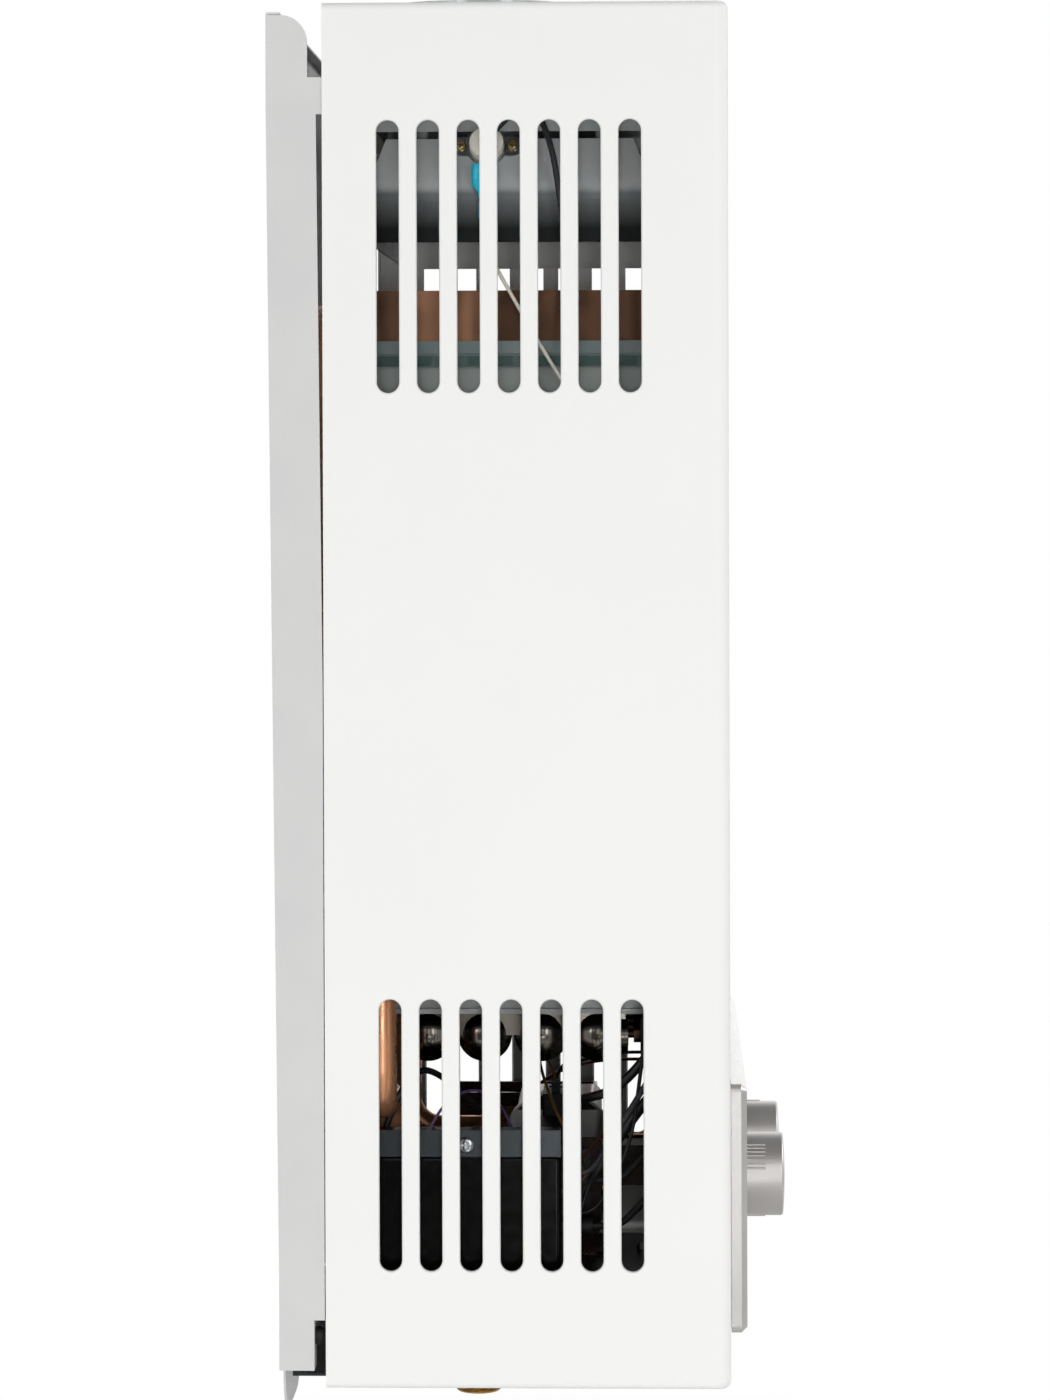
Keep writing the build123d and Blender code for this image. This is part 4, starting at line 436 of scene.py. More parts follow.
# A dark brown copy of the turned brass, for the gas nozzles and the water valve body.
CAST_BRASS = turned_brass("dark_cast_brass", "#5A4330", "#33271D")
SILVER = lacquered_plastic()
KNOB_METAL = metallised_knob()
BLACK_STEEL = moulded("black_baked_steel", "#141414", 0.35, "#1E1D1C", 1.4, 0.01)
BROWN_PLASTIC = moulded("moulded_brown_phenolic", "#241812", 0.3, "#33241B", 1.2, 0.01)
BLACK_GLOSS = moulded("moulded_black_abs", "#060606", 0.16, "#0B0B0B", 3.0, 0.006, 0.2)
BLACK_MATT = moulded("moulded_black_nylon", "#1D1E20", 0.42, "#2C2D30")
GREY_PLASTIC = moulded("moulded_grey_polypropylene", "#55585B", 0.45, "#64676A")
RUBBER = rubber()
SLEEVING = braided_sleeving()
WHITE_WIRE = sleeved_wire()
STEATITE = steatite()
CREAM_CERAMIC = steatite("cream_thermostat_ceramic", "#FDF8EC")
CYAN_SLEEVE = moulded("blue_silicone_sleeve", "#1FC3E0", 0.3, "#4BD2E8", 1.2, 0.02)
WINDOW = smoked_window()
BOARD = solder_mask()
CELL = cell_jacket()
INK = printed_ink()
POINTER_PAINT = indicator_paint()
DISPLAY_FILM = lcd_glass()

FINISHES = {
    "front_case": ENAMEL,
    "back_plate": PLATE_COAT,
    "case_buffers": RUBBER,
    "bottom_plate": PAINTED_SHADE_ZINC,
    "engine_brackets": GALVANISED,
    "flue_collar": GALVANISED,
    "flue_hood": HOOD_SHEET,
    "heat_shield": HOOD_SHEET,
    "exchanger_shell": COPPER_SHEET,
    "exchanger_fins": COPPER_SHEET,
    "exchanger_tubes": COPPER_PIPE,
    "return_bends": COPPER_PIPE,
    "combustion_chamber": DIPPED,
    "cold_water_pipe": COPPER_PIPE,
    "hot_water_pipe": COPPER_PIPE,
    "pipe_union_nuts": BRASS,
    "burner_frame": FRAME_STEEL,
    "burner_blades": STAINLESS,
    "gas_manifold": BLACK_STEEL,
    "gas_nozzles": CAST_BRASS,
    "electrode_bracket": ZINC,
    "gas_valve_body": DARK_CAST,
    "gas_poppet": RUBBER,
    "poppet_spring": ZINC,
    "solenoid_coil": BLACK_MATT,
    "solenoid_plunger": ZINC,
    "gas_spindle": BRASS,
    "water_spindle": BRASS,
    "spindle_bonnets": BRASS,
    "gas_knob": KNOB_METAL,
    "water_knob": KNOB_METAL,
    "water_valve_body": CAST_BRASS,
    "diaphragm_cover": DARK_CAST,
    "diaphragm": RUBBER,
    "push_rod": ZINC,
    "inlet_filter": GREY_PLASTIC,
    "drain_plug": BLACK_MATT,
    "microswitch": BLACK_MATT,
    "switch_lever": ZINC,
    "control_panel": SILVER,
    "display_window": WINDOW,
    "display_board": BOARD,
    "controller_bracket": PAINTED_SHADE_ZINC,
    "ignition_controller": BLACK_GLOSS,
    "battery_box": BROWN_PLASTIC,
    "battery_door": BROWN_PLASTIC,
    "batteries": CELL,
    "battery_contacts": ZINC,
    "terminal_sleeve": CYAN_SLEEVE,
    "black_lead": SLEEVING,
    "white_lead": WHITE_WIRE,
    "ignition_leads": RUBBER,
}
for name, finish in FINISHES.items():
    node = nodes[name]
    for material_slot in node.material_slots:
        material_slot.material = finish


# Sheared edges of sheet parts are broken by a quarter of a millimetre, which catches the light.
for name in ("controller_bracket", "flue_hood", "burner_frame", "back_plate"):
    edge = nodes[name].modifiers.new("broken_edges", "BEVEL")
    edge.width = 0.25 * MM
    edge.segments = 2
    edge.limit_method = "ANGLE"
    edge.angle_limit = math.radians(50)


def new_object(name, mesh_maker, *finishes):
    """Object at the origin whose mesh the maker draws in millimetres."""
    shape = bmesh.new()
    mesh_maker(shape)
    bmesh.ops.remove_doubles(shape, verts=shape.verts, dist=1e-4)
    bmesh.ops.recalc_face_normals(shape, faces=shape.faces)
    bmesh.ops.scale(shape, vec=(MM, MM, MM), verts=shape.verts)
    mesh = bpy.data.meshes.new(name)
    shape.to_mesh(mesh)
    shape.free()
    for finish in finishes:
        mesh.materials.append(finish)
    mesh.set_sharp_from_angle(angle=math.radians(35))
    for face in mesh.polygons:
        face.use_smooth = True
    made = bpy.data.objects.new(name, mesh)
    bpy.context.scene.collection.objects.link(made)
    return made


def turned(shape, outline, start=(0, 0, 0), direction=(0, 0, 1), steps=48, finish=0):
    """Surface of revolution: outline is (distance along, radius) pairs, closed where the radius is 0."""
    turn = Vector(direction).to_track_quat("Z", "Y").to_matrix().to_4x4()
    place = Matrix.Translation(start) @ turn
    rings = []
    for along, radius in outline:
        count = 1 if radius == 0 else steps
        rings.append([
            shape.verts.new(place @ Vector((radius * math.cos(2 * math.pi * i / steps),
                                            radius * math.sin(2 * math.pi * i / steps), along)))
            for i in range(count)
        ])
    for low, high in zip(rings, rings[1:]):
        for i in range(steps):
            after = i + 1
            corners = [low[i % len(low)], low[after % len(low)]]
            corners += [high[after % len(high)], high[i % len(high)]]
            unique = list(dict.fromkeys(corners))
            if len(unique) > 2:
                shape.faces.new(unique).material_index = finish


def prism(shape, corners, start, direction, length, sideways=None, finish=0):
    """Prism on a flat outline; sideways is where the outline's first axis points."""
    ahead = Vector(direction).normalized()
    across = Vector(sideways).normalized() if sideways else ahead.orthogonal().normalized()
    upward = ahead.cross(across)
    base = [Vector(start) + across * x + upward * y for x, y in corners]
    low = [shape.verts.new(point) for point in base]
    high = [shape.verts.new(point + ahead * length) for point in base]
    faces = [low[::-1], high]
    faces += [[low[i - 1], low[i], high[i], high[i - 1]] for i in range(len(low))]
    for face in faces:
        shape.faces.new(face).material_index = finish


def polygon(radius, count):
    """Corners of a regular polygon."""
    turns = [2 * math.pi * i / count for i in range(count)]
    return [(radius * math.cos(turn), radius * math.sin(turn)) for turn in turns]


# Threaded connections

THREAD_PITCH = 1.814
THREAD_DEPTH = 1.1
THREAD_RADIUS = 10.48
THREAD_LOW = -581.0
THREAD_HIGH = -566.0
THREAD_STEPS = 60
THREAD_ROWS = 10
STEM_RADIUS = 9.8
COLLAR_RADIUS = STEM_RADIUS - 0.3
COLLAR_BORE = STEM_RADIUS - 2
HEX_LOW = -562.8
HEX_HEIGHT = 8.0
HEX_RADIUS = 13.5
HEX_CHAMFER = 0.9
HEX_CHAMFER_RADIUS = HEX_RADIUS - 0.4


def threaded(shape, x, y, bore):
    """G1/2 thread as one helical surface, closed by its end faces and its bore."""
    around = THREAD_STEPS
    rows = int((THREAD_HIGH - THREAD_LOW) / THREAD_PITCH * THREAD_ROWS)
    grid = []
    for row in range(rows + 1):
        z = THREAD_LOW + (THREAD_HIGH - THREAD_LOW) * row / rows
        edge = min(z - THREAD_LOW, THREAD_HIGH - z)
        ring = []
        for i in range(around):
            phase = (z / THREAD_PITCH - i / around) % 1.0
            depth = THREAD_DEPTH * abs(2 * phase - 1)
            radius = THREAD_RADIUS - depth
            radius = min(radius, STEM_RADIUS - 0.6 + edge)
            angle = 2 * math.pi * i / around
            ring.append(shape.verts.new((x + radius * math.cos(angle), y + radius * math.sin(angle), z)))
        grid.append(ring)
    for low, high in zip(grid, grid[1:]):
        for i in range(around):
            shape.faces.new([low[i], low[(i + 1) % around], high[(i + 1) % around], high[i]])
    for ring, z, inner in ((grid[0], THREAD_LOW, bore), (grid[-1], THREAD_HIGH, COLLAR_BORE)):
        rim = [shape.verts.new((x + across, y + along, z)) for across, along in polygon(inner, around)]
        for i in range(around):
            shape.faces.new([ring[i], ring[(i + 1) % around], rim[(i + 1) % around], rim[i]])


def make_connector(name, x, y, bore):
    """Brass connection: thread, stem, chamfered hexagon and bore."""
    top = corner(name, 1, "Z")

    def draw(shape):
        threaded(shape, x, y, bore)
        stem = [(THREAD_LOW, bore), (top, bore), (top, STEM_RADIUS)]
        stem.append((HEX_LOW + HEX_HEIGHT - 0.5, STEM_RADIUS))
        neck = [(THREAD_HIGH, COLLAR_BORE), (THREAD_HIGH, COLLAR_RADIUS), (HEX_LOW, COLLAR_RADIUS)]
        turned(shape, stem, (x, y, 0), steps=THREAD_STEPS)
        turned(shape, neck, (x, y, 0), steps=THREAD_STEPS)
        layers = (
            (HEX_LOW, HEX_CHAMFER, HEX_CHAMFER_RADIUS),
            (HEX_LOW + HEX_CHAMFER, HEX_HEIGHT - 2 * HEX_CHAMFER, HEX_RADIUS),
            (HEX_LOW + HEX_HEIGHT - HEX_CHAMFER, HEX_CHAMFER, HEX_CHAMFER_RADIUS),
        )
        for low, height, radius in layers:
            prism(shape, polygon(radius, 6), (x, y, low), (0, 0, 1), height, (1, 0, 0))

    piece = new_object(name + "_turned", draw, BRASS)
    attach(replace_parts(piece, name), "heater")


make_connector("cold_water_connector", 72, -118, 7.0)
make_connector("gas_connector", -14, -118, 5.5)
make_connector("hot_water_connector", -112, -86, 5.55)


# Screws, placed by geometry nodes

def cross_head(radius, height, shank, length):
    """Drawer for a pan-head screw along +Z, its head above the seat at the origin."""
    def draw(shape):
        body = [(-length, 0), (-length, shank * 0.4), (-length + shank * 1.2, shank), (0, shank)]
        crown = ((0, 1), (0.45, 1), (0.75, 0.9), (0.93, 0.68), (1, 0.42), (1, 0))
        turned(shape, body + [(height * rise, radius * reach) for rise, reach in crown], steps=32)
    return draw


def carved_screw(name, radius, height, shank, length, finish):
    """Screw with a cross recess, as the part that geometry nodes repeat."""
    screw = new_object(name, cross_head(radius, height, shank, length), finish)
    arm = radius * 0.5
    thin = radius * 0.14

    def draw_cross(shape):
        for long_x, long_y in ((arm, thin), (thin, arm)):
            prism(shape, [(-long_x, -long_y), (long_x, -long_y), (long_x, long_y), (-long_x, long_y)],
                  (0, 0, height * 0.35), (0, 0, 1), height, (1, 0, 0))

    cross = new_object(name + "_cross", draw_cross, finish)
    carve = screw.modifiers.new("recess", "BOOLEAN")
    carve.operation = "DIFFERENCE"
    carve.use_self = True
    carve.object = cross
    return screw, cross


def copies_tree():
    """Repeats a part on every vertex: its Z follows the vertex's facing, its size the vertex's growth."""
    tree = bpy.data.node_groups.new("copies_of_a_part", "GeometryNodeTree")
    for label, kind in (("Places", "NodeSocketGeometry"), ("Part", "NodeSocketObject"),
                        ("Finish", "NodeSocketMaterial")):
        tree.interface.new_socket(label, in_out="INPUT", socket_type=kind)
    tree.interface.new_socket("Copies", in_out="OUTPUT", socket_type="NodeSocketGeometry")
    given = add(tree, "NodeGroupInput")
    part = add(tree, "GeometryNodeObjectInfo", {"Object": given.outputs["Part"]},
               transform_space="ORIGINAL")
    facing = add(tree, "GeometryNodeInputNamedAttribute", {"Name": "facing"}, data_type="FLOAT_VECTOR")
    growth = add(tree, "GeometryNodeInputNamedAttribute", {"Name": "growth"}, data_type="FLOAT")
    turn = add(tree, "FunctionNodeAlignRotationToVector", {"Vector": facing.outputs[0]}, axis="Z")
    copies = add(tree, "GeometryNodeInstanceOnPoints",
                 {"Points": given.outputs["Places"], "Instance": part.outputs["Geometry"],
                  "Rotation": turn.outputs[0], "Scale": growth.outputs[0]})
    solid = add(tree, "GeometryNodeRealizeInstances", {"Geometry": copies.outputs[0]})
    dressed = add(tree, "GeometryNodeSetMaterial",
                  {"Geometry": solid.outputs[0], "Material": given.outputs["Finish"]})
    add(tree, "NodeGroupOutput", {"Copies": dressed.outputs[0]})
    return tree


COPIES = copies_tree()


def as_mesh(source, name):
    """Plain object with the evaluated mesh of another one, which it takes the place of."""
    mesh = bpy.data.meshes.new_from_object(source.evaluated_get(bpy.context.evaluated_depsgraph_get()))
    mesh.name = name
    bpy.data.objects.remove(source)
    made = bpy.data.objects.new(name, mesh)
    bpy.context.scene.collection.objects.link(made)
    return made


def repeat(name, part, finish, places):
    """Plain mesh of copies of a part; places are (position, facing, growth), in millimetres."""
    mesh = bpy.data.meshes.new(name + "_places")
    mesh.from_pydata([[value * MM for value in place] for place, _, _ in places], [], [])
    mesh.attributes.new("facing", "FLOAT_VECTOR", "POINT")
    mesh.attributes.new("growth", "FLOAT", "POINT")
    for index, (_, direction, grow) in enumerate(places):
        mesh.attributes["facing"].data[index].vector = direction
        mesh.attributes["growth"].data[index].value = grow
    holder = bpy.data.objects.new(name + "_places", mesh)
    bpy.context.scene.collection.objects.link(holder)
    modifier = holder.modifiers.new("copies", "NODES")
    modifier.node_group = COPIES
    for item in COPIES.interface.items_tree:
        value = {"Part": part, "Finish": finish}.get(item.name)
        if value is not None:
            modifier[item.identifier] = value
    return as_mesh(holder, name)


THERMOSTAT_LEAN = math.atan2(8.0, 21.5)
THERMOSTAT_OUT = Vector((-math.cos(THERMOSTAT_LEAN), 0, math.sin(THERMOSTAT_LEAN)))
THERMOSTAT_PLACE = Vector((-140 + 17.8 * math.tan(THERMOSTAT_LEAN), -92, -33.2))
THERMOSTAT_SPAN = 11.5

KNOB_Z = (corner("gas_spindle", 0, "Z") + corner("gas_spindle", 1, "Z")) / 2

case_screw, case_cross = carved_screw("pan_head_screw", 3.4, 2.2, 1.5, 6.0, ZINC)
small_screw, small_cross = carved_screw("small_pan_head_screw", 2.3, 2.2, 1.5, 3.3, YELLOW_ZINC)
bolt, bolt_cross = carved_screw("cheese_head_screw", 3.5, 2.8, 2.0, 17.0, ZINC)

screw_places = [((x, -156.5, -565.0), (0, 0, -1), 1.0) for x in (-120, 120)]
screw_places += [((x, -195.7, z), (0, 1, 0), 1.0) for x in (-130, 130) for z in (-528.2, -460.3)]
screw_places.append(((-172.2, -83.8, -462.9), (-1, 0, 0), 1.0))
case_screws = repeat("case_screws", case_screw, ZINC, screw_places)
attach(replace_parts(case_screws, "self_tapping_screws"), "heater")

thermostat_screw_places = [
    (tuple(THERMOSTAT_PLACE + THERMOSTAT_OUT * 0.8 + Vector((0, reach, 0))), tuple(THERMOSTAT_OUT), 1.0)
    for reach in (-THERMOSTAT_SPAN, THERMOSTAT_SPAN)
]
thermostat_screws = repeat("thermostat_screws", small_screw, YELLOW_ZINC, thermostat_screw_places)
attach(thermostat_screws, "heater")

BOLT_CIRCLE = 23.0
bolt_places = []
for index in range(6):
    angle = math.radians(30 + 60 * index)
    seat = (14.0, -118 + BOLT_CIRCLE * math.cos(angle), KNOB_Z + BOLT_CIRCLE * math.sin(angle))
    bolt_places.append((seat, (-1, 0, 0), 1.0))
cover_bolts = repeat("cover_bolts", bolt, ZINC, bolt_places)
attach(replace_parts(cover_bolts, "valve_screws"), "heater")
for spare in (case_screw, case_cross, small_screw, small_cross, bolt, bolt_cross):
    bpy.data.objects.remove(spare)


# Overheat thermostat

def draw_thermostat(shape):
    """Ear plate, crimped ring, ceramic cap and the blade on it, along the hood's facet."""
    place = tuple(THERMOSTAT_PLACE)
    out = tuple(THERMOSTAT_OUT)
    ear = []
    for side in (1, -1):
        for step in range(9):
            angle = math.radians(-90 + 22.5 * step) + (0 if side > 0 else math.pi)
            ear.append((side * THERMOSTAT_SPAN + 4.5 * math.cos(angle), 4.5 * math.sin(angle)))
    prism(shape, ear, place, out, 0.8, (0, 1, 0), 1)
    rim = [(0, 9.1), (1.35, 9.1), (1.6, 8.85), (1.6, 7.9), (1.3, 7.6), (0, 7.6)]
    cap = [(0.2, 7.5), (5.2, 7.5), (5.75, 7.2), (6.0, 6.6), (6.0, 3.4), (5.6, 3.1), (5.6, 0)]
    turned(shape, rim, place, out, 64, 1)
    turned(shape, cap, place, out, 64, 0)
    middle, half = -3.2, 2.4
    blade = [(-2.5, middle - half), (2.5, middle - half), (2.5, middle + half), (-2.5, middle + half)]
    prism(shape, blade, tuple(THERMOSTAT_PLACE + THERMOSTAT_OUT * 5.9), out, 1.2, (0, 1, 0), 1)


thermostat = new_object("thermostat_disc", draw_thermostat, CREAM_CERAMIC, ZINC)
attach(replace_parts(thermostat, "overheat_thermostat"), "heater")


# Rings of the sleeve: drop below its top, half width, half thickness, shift of the middle
SLEEVE_RINGS = (
    (0.0, 3.9, 2.1, 0.0), (0.6, 4.2, 2.3, 0.0), (6.0, 4.0, 2.3, 0.3),
    (9.5, 3.6, 2.2, 0.4), (12.0, 2.5, 1.9, -0.6), (15.0, 2.1, 1.7, -1.1),
    (19.0, 2.4, 1.7, -1.2), (23.2, 2.3, 1.6, -1.0), (23.9, 2.0, 1.3, -1.0),
)
SLEEVE_TOP = -41.2


def draw_sleeve(shape):
    """Soft sleeve: wide over the terminal, waisted under it and crimped on the wire."""
    middle_x, middle_y = THERMOSTAT_PLACE.x - 9.8, -90.0
    around = 28
    rings = []
    for drop, wide, thick, shift in SLEEVE_RINGS:
        ring = []
        for i in range(around):
            angle = 2 * math.pi * i / around
            x = math.copysign(abs(math.cos(angle)) ** 0.7, math.cos(angle)) * thick
            y = math.copysign(abs(math.sin(angle)) ** 0.7, math.sin(angle)) * wide
            ring.append(shape.verts.new((middle_x + x, middle_y + shift + y, SLEEVE_TOP - drop)))
        rings.append(ring)
    for low, high in zip(rings, rings[1:]):
        for i in range(around):
            shape.faces.new([low[i - 1], low[i], high[i], high[i - 1]])
    shape.faces.new(rings[0])
    shape.faces.new(rings[-1][::-1])


sleeve = new_object("soft_terminal_sleeve", draw_sleeve, CYAN_SLEEVE)
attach(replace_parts(sleeve, "terminal_sleeve"), "heater")


# Electrodes

ELECTRODE_Z = -360.0
ELECTRODE_START = -175.6


def make_electrode(name, x):
    """Ceramic body with its collar and the metal needle through it."""
    def draw(shape):
        start = (x, ELECTRODE_START, ELECTRODE_Z)
        ceramic = [(0, 1.3), (0, 3.1), (0.4, 3.5), (8.9, 3.5), (8.9, 5.0), (10.4, 5.0), (10.4, 3.5),
                   (24.5, 3.5), (26, 2.1), (26, 1.3)]
        needle = [(-4, 0), (-4, 1.0), (-3.8, 1.2), (47, 1.2), (48, 0.5), (48, 0)]
        turned(shape, ceramic, start, (0, 1, 0), 40, 0)
        turned(shape, needle, start, (0, 1, 0), 20, 1)

    piece = new_object(name + "_rod", draw, STEATITE, ZINC)
    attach(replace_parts(piece, name), "heater")


make_electrode("spark_electrode", 30)
make_electrode("flame_sensor", 62)


# Panel marks, pointer paint and digits

PANEL_FRONT = corner("control_panel", 0, "Y")
KNOB_FRONT = corner("gas_knob", 0, "Y")
# Knobs: place along X, angle of the pointer at rest from the top, travel
KNOB_PLACES = {"gas": (-46, 90, 180), "water": (46, 130, 270)}
DOT_RING = 25.0
DOT_COUNT = 11


def draw_dot(shape):
    """Round dot of the rising scale round a knob."""
    turned(shape, [(-0.05, 0), (-0.05, 1.0), (0.05, 1.0), (0.07, 0.9), (0.07, 0)], steps=24)


dot = new_object("scale_dot", draw_dot, INK)
dot_places = []
for middle, rest, travel in KNOB_PLACES.values():
    for index in range(DOT_COUNT):
        angle = math.radians(90 + rest - travel * index / (DOT_COUNT - 1))
        place = (middle + DOT_RING * math.cos(angle), PANEL_FRONT, KNOB_Z + DOT_RING * math.sin(angle))
        dot_places.append((place, (0, -1, 0), 0.45 + 0.075 * index))
scale_dots = repeat("scale_dots", dot, INK, dot_places)
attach(scale_dots, "heater")
bpy.data.objects.remove(dot)


def make_pointer(name):
    """Paint that fills the knob's pointer groove, which stands at the start of its scale."""
    middle, rest, _ = KNOB_PLACES[name]
    turn = math.radians(rest)

    def draw(shape):
        stripe = [(-0.75, 7.2), (0.75, 7.2), (0.75, 15.7), (-0.75, 15.7)]
        sideways = (math.cos(turn), 0, math.sin(turn))
        prism(shape, stripe, (middle, KNOB_FRONT + 0.77, KNOB_Z), (0, -1, 0), 0.35, sideways)

    piece = new_object(name + "_pointer", draw, POINTER_PAINT)
    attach(piece, name + "_control")


make_pointer("gas")
make_pointer("water")

SEGMENTS = {"4": "bcfg", "2": "abdeg"}
SEGMENT_PLACES = {
    "a": (0, 1, True), "b": (0.5, 0.5, False), "c": (0.5, -0.5, False), "d": (0, -1, True),
    "e": (-0.5, -0.5, False), "f": (-0.5, 0.5, False), "g": (0, 0, True),
}
DIGIT_FRONT = PANEL_FRONT + 3.95


def draw_digits(shape):
    """Two seven-segment numbers on the display."""
    for middle, digit in ((-5.2, "4"), (5.2, "2")):
        for letter in SEGMENTS[digit]:
            across, upward, lies = SEGMENT_PLACES[letter]
            x, z = middle + across * 7, KNOB_Z + upward * 6.4
            tip = 0.75
            if lies:
                half = 2.9
                outline = [(-half, 0), (tip - half, -tip), (half - tip, -tip), (half, 0), (half - tip, tip),
                           (tip - half, tip)]
            else:
                half = 2.7
                outline = [(0, -half), (tip, tip - half), (tip, half - tip), (0, half), (-tip, half - tip),
                           (-tip, tip - half)]
            prism(shape, outline, (x, DIGIT_FRONT, z), (0, -1, 0), 0.05, (1, 0, 0))


digits = new_object("display_digits", draw_digits, INK)
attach(digits, "heater")


def draw_film(shape):
    """Reflective film in front of the digit block."""
    outline = [(-17, -8), (17, -8), (17, 8), (-17, 8)]
    prism(shape, outline, (0, DIGIT_FRONT + 0.06, KNOB_Z), (0, -1, 0), 0.05, (1, 0, 0))


film = new_object("display_film", draw_film, DISPLAY_FILM)
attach(film, "heater")


# Loom of thin wires between the electrical parts

WIRE_RED = wire_jacket("red_wire_jacket", "#541A15").material
WIRE_BROWN = wire_jacket("brown_wire_jacket", "#4A301E").material
WIRE_PURPLE = wire_jacket("purple_wire_jacket", "#5C4470").material
WIRE_BLACK = wire_jacket("black_wire_jacket", "#0C0C0D", 0.4).material
WIRE_YELLOW = wire_jacket("amber_wire_jacket", "#5C431C").material


def make_wire(name, finish, diameter, points):
    """Thin wire on one smooth curve through the space between two terminals."""
    data = bpy.data.curves.new(name, "CURVE")
    data.dimensions = "3D"
    data.bevel_depth = diameter / 2 * MM
    data.bevel_resolution = 3
    data.resolution_u = 10
    data.use_fill_caps = True
    line = data.splines.new("NURBS")
    line.points.add(len(points) - 1)
    for point, place in zip(line.points, points):
        point.co = (*[value * MM for value in place], 1)
    line.order_u = 3
    line.use_endpoint_u = True
    data.materials.append(finish)
    curve = bpy.data.objects.new(name, data)
    bpy.context.scene.collection.objects.link(curve)
    bpy.context.view_layer.update()
    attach(as_mesh(curve, name), "heater")


make_wire("battery_lead_red", WIRE_RED, 1.6, [
    (121, -100, -490), (118, -104, -480), (96, -130, -465), (50, -170, -458), (10, -176, -451),
    (-10, -178, -449),
])
make_wire("battery_lead_black", WIRE_BLACK, 1.6, [
    (127, -100, -490), (124, -108, -478), (100, -136, -462), (52, -174, -455), (10, -178, -449),
    (-10, -179, -447),
])
make_wire("battery_loom_sleeve", WIRE_BLACK, 4.8, [
    (16, -176, -451), (-60, -181, -441), (-118, -178, -434), (-144, -168, -440), (-150, -158, -450),
    (-151, -148, -464), (-150, -137, -480), (-148, -129, -492), (-148, -123, -495),
])
make_wire("sleeved_earth_lead", WIRE_BLACK, 4.2, [
    (-100, -122, -482), (-108, -125, -462), (-130, -127, -450), (-145, -135, -447), (-150, -146, -443),
    (-152, -156, -434), (-150, -168, -418), (-138, -181, -398), (-90, -186, -388), (-20, -187, -384),
    (30, -186, -380), (46, -181, -371), (46, -177, -366),
])
make_wire("coil_lead_black", WIRE_BLACK, 2.8, [
    (-100, -108, -483), (-104, -98, -470), (-122, -84, -452), (-140, -69, -436), (-149, -61, -434),
    (-155, -52, -446), (-157, -48, -458),
])
make_wire("coil_lead_brown", WIRE_BROWN, 1.5, [
    (-96, -128, -486), (-98, -134, -478), (-112, -146, -462), (-134, -150, -458), (-152, -142, -470),
    (-158, -130, -484), (-158, -122, -486),
])
make_wire("coil_lead_purple", WIRE_PURPLE, 1.3, [
    (-102, -112, -484), (-106, -104, -474), (-118, -96, -452), (-134, -86, -444), (-148, -74, -447),
    (-156, -66, -460), (-154, -60, -468),
])
make_wire("switch_lead_black", WIRE_BLACK, 1.4, [
    (-8, -118, -459), (-9, -120, -452), (-20, -132, -444), (-60, -146, -440), (-104, -150, -446),
    (-136, -148, -458), (-154, -138, -476), (-163, -130, -500), (-163, -122, -502),
])
make_wire("switch_lead_amber", WIRE_YELLOW, 1.4, [
    (-13, -118, -459), (-15, -116, -451), (-34, -112, -443), (-74, -112, -441), (-112, -116, -446),
    (-138, -122, -456), (-146, -130, -468), (-148, -134, -482), (-152, -128, -500), (-152, -122, -502),
])


# Stage

FLOOR_Z = -0.80
FLOOR_CLEAR = 0.45
FLOOR_WHITE = 0.9
FLOOR_HALF = 1.0
FILL_LIGHT = 0.38
WALL_LIGHT = 0.85
# Patches of the studio: direction, cosines where the patch starts and is full, brightness
ROOM_PATCHES = (
    ((0, 0, 1), 0.55, 0.85, 0.12),
    ((0, 0, -1), 0.2, 0.6, 0.5),
    ((0, -1, 0), 0.8, 0.96, 0.5),
    ((0.97, 0, 0.25), 0.9, 0.98, 1.5),
    ((-0.98, 0, -0.1), 0.8, 0.97, 0.06),
    ((-0.92, 0, 0.38), 0.93, 0.97, 1.1),
)
# Soft boxes: name, place, target, width, height, power, whether shiny parts show it
LAMPS = (
    ("flash_box", (-2.1, -0.15, -0.21), (-0.18, -0.1, -0.25), 0.15, 0.12, 9.6, False),
    ("key_box", (-2.3, 1.1, 0.35), (-0.18, -0.1, -0.25), 0.7, 0.9, 7.6, True),
    ("side_box", (-2.15, -0.95, 0.15), (-0.18, -0.1, -0.2), 0.5, 1.2, 7.5, True),
    ("low_box", (-2.1, -0.4, -0.72), (-0.15, -0.1, -0.4), 0.45, 0.2, 2.9, True),
    ("front_box", (0.6, -2.8, 0.9), (0, -0.2, -0.3), 1.8, 1.6, 28, True),
    ("rear_box", (1.4, 2.4, 1.2), (0, 0, -0.2), 1.6, 1.6, 22, True),
)


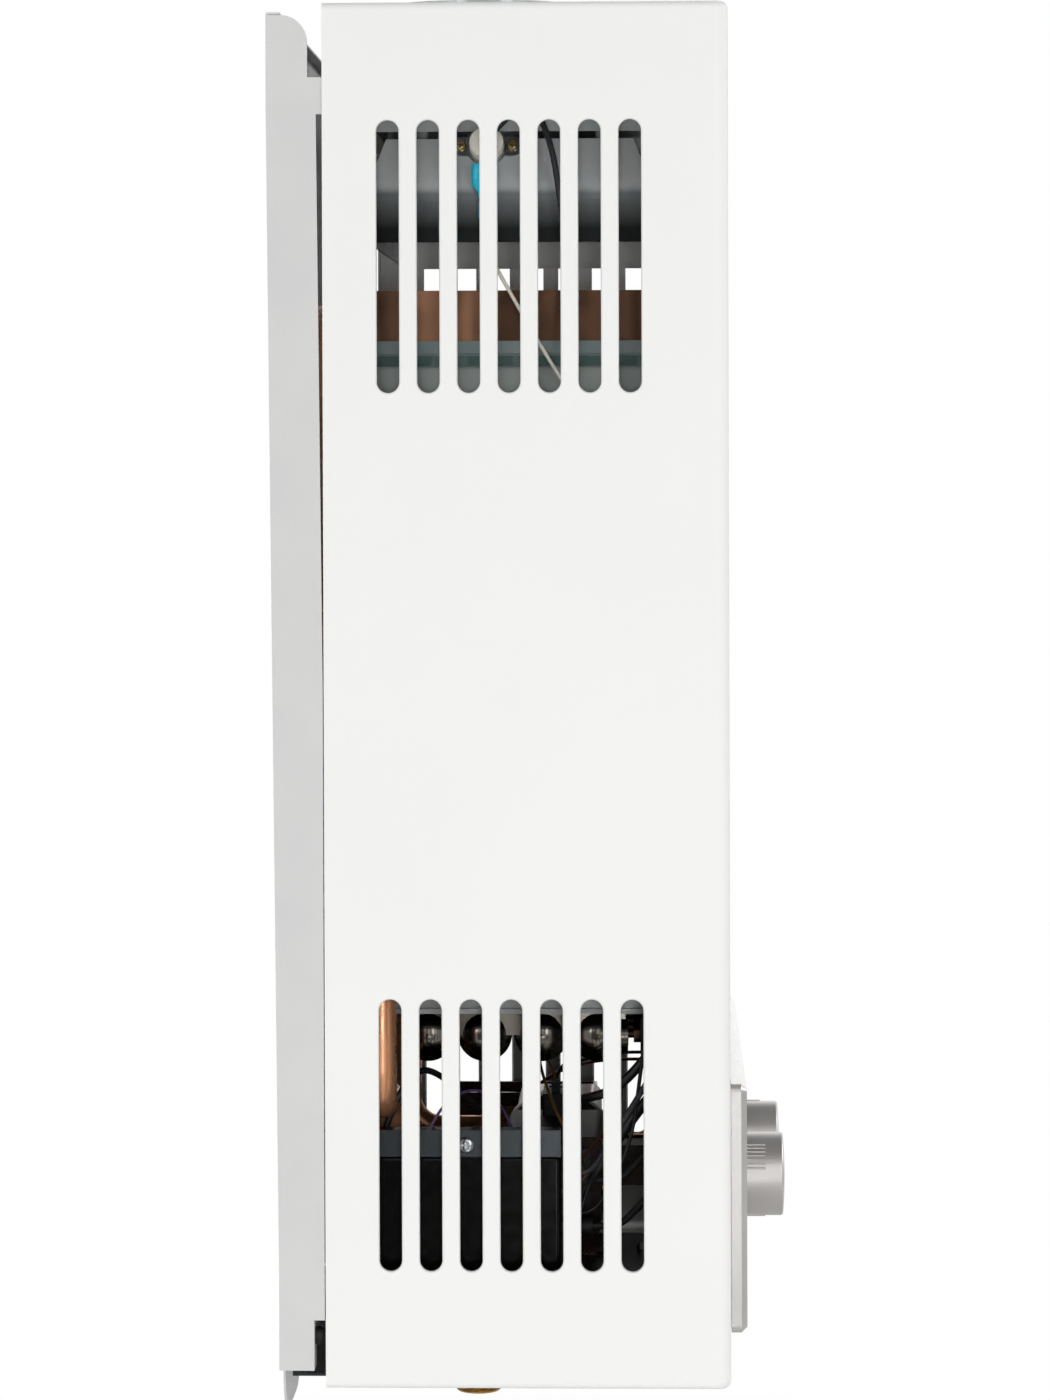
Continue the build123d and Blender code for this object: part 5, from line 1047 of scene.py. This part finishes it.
def pale_floor():
    """Painted studio floor near the heater, running out into white for the camera."""
    material = bpy.data.materials.new("painted_studio_floor")
    material.use_nodes = True
    tree = material.node_tree
    tree.nodes.clear()
    place = add(tree, "ShaderNodeTexCoord").outputs["Object"]
    reach = add(tree, "ShaderNodeVectorMath", {0: place}, operation="LENGTH").outputs["Value"]
    ramp = {"Value": reach, "From Min": FLOOR_CLEAR, "From Max": FLOOR_WHITE}
    far = add(tree, "ShaderNodeMapRange", ramp, interpolation_type="SMOOTHSTEP").outputs[0]
    cloud = add(tree, "ShaderNodeTexNoise", {"Vector": place, "Scale": 3.0})
    tone = add(tree, "ShaderNodeMix", {0: cloud.outputs[0], 6: linear("#EFEFED"), 7: linear("#F3F3F2")},
               data_type="RGBA")
    paint = add(tree, "ShaderNodeBsdfPrincipled", {"Base Color": tone.outputs[2], "Roughness": 0.7})
    white = add(tree, "ShaderNodeEmission", {"Color": (1, 1, 1, 1), "Strength": 1.0})
    path = add(tree, "ShaderNodeLightPath")
    seen = larger(tree, path.outputs["Is Camera Ray"], path.outputs["Is Glossy Ray"])
    seen = larger(tree, seen, path.outputs["Is Transmission Ray"])
    share = add(tree, "ShaderNodeMath", {0: far, 1: seen}, operation="MULTIPLY").outputs[0]
    blend = add(tree, "ShaderNodeMixShader", {0: share, 1: paint.outputs[0], 2: white.outputs[0]})
    add(tree, "ShaderNodeOutputMaterial", {"Surface": blend.outputs[0]})
    return material


def room(tree):
    """Brightness of the studio by direction, as shiny parts see it."""
    way = add(tree, "ShaderNodeTexCoord").outputs["Generated"]
    bright = WALL_LIGHT
    for axis, low, high, level in ROOM_PATCHES:
        toward = add(tree, "ShaderNodeVectorMath", {0: way, 1: Vector(axis).normalized()},
                     operation="DOT_PRODUCT").outputs["Value"]
        share = add(tree, "ShaderNodeMapRange", {"Value": toward, "From Min": low, "From Max": high},
                    interpolation_type="SMOOTHSTEP").outputs[0]
        bright = add(tree, "ShaderNodeMix", {0: share, 2: bright, 3: level}).outputs[0]
    return bright


def make_stage():
    """Floor under the heater, white surroundings, soft boxes and a small flash beside the camera.

    The camera sees white all round. Shiny parts see pale walls with a dark doorway on the left."""
    mesh = bpy.data.meshes.new("studio_floor")
    half = FLOOR_HALF
    corners = [(-half, -half, 0), (half, -half, 0), (half, half, 0), (-half, half, 0)]
    mesh.from_pydata(corners, [], [(0, 1, 2, 3)])
    mesh.materials.append(pale_floor())
    floor = bpy.data.objects.new("studio_floor", mesh)
    floor.location = (0, -0.1, FLOOR_Z)
    bpy.context.scene.collection.objects.link(floor)
    world = bpy.data.worlds.new("white_studio")
    bpy.context.scene.world = world
    world.use_nodes = True
    tree = world.node_tree
    tree.nodes.clear()
    path = add(tree, "ShaderNodeLightPath")
    seen = larger(tree, path.outputs["Is Camera Ray"], path.outputs["Is Transmission Ray"])
    glossy = path.outputs["Is Glossy Ray"]
    fill = add(tree, "ShaderNodeMix", {0: glossy, 2: FILL_LIGHT, 3: room(tree)}).outputs[0]
    strength = add(tree, "ShaderNodeMix", {0: seen, 2: fill, 3: 1.0}).outputs[0]
    sky = add(tree, "ShaderNodeBackground", {"Color": (1, 1, 1, 1), "Strength": strength})
    add(tree, "ShaderNodeOutputWorld", {"Surface": sky.outputs[0]})
    for lamp in LAMPS:
        make_light(*lamp)


make_camera()
make_stage()
bpy.context.scene.view_settings.view_transform = "Standard"
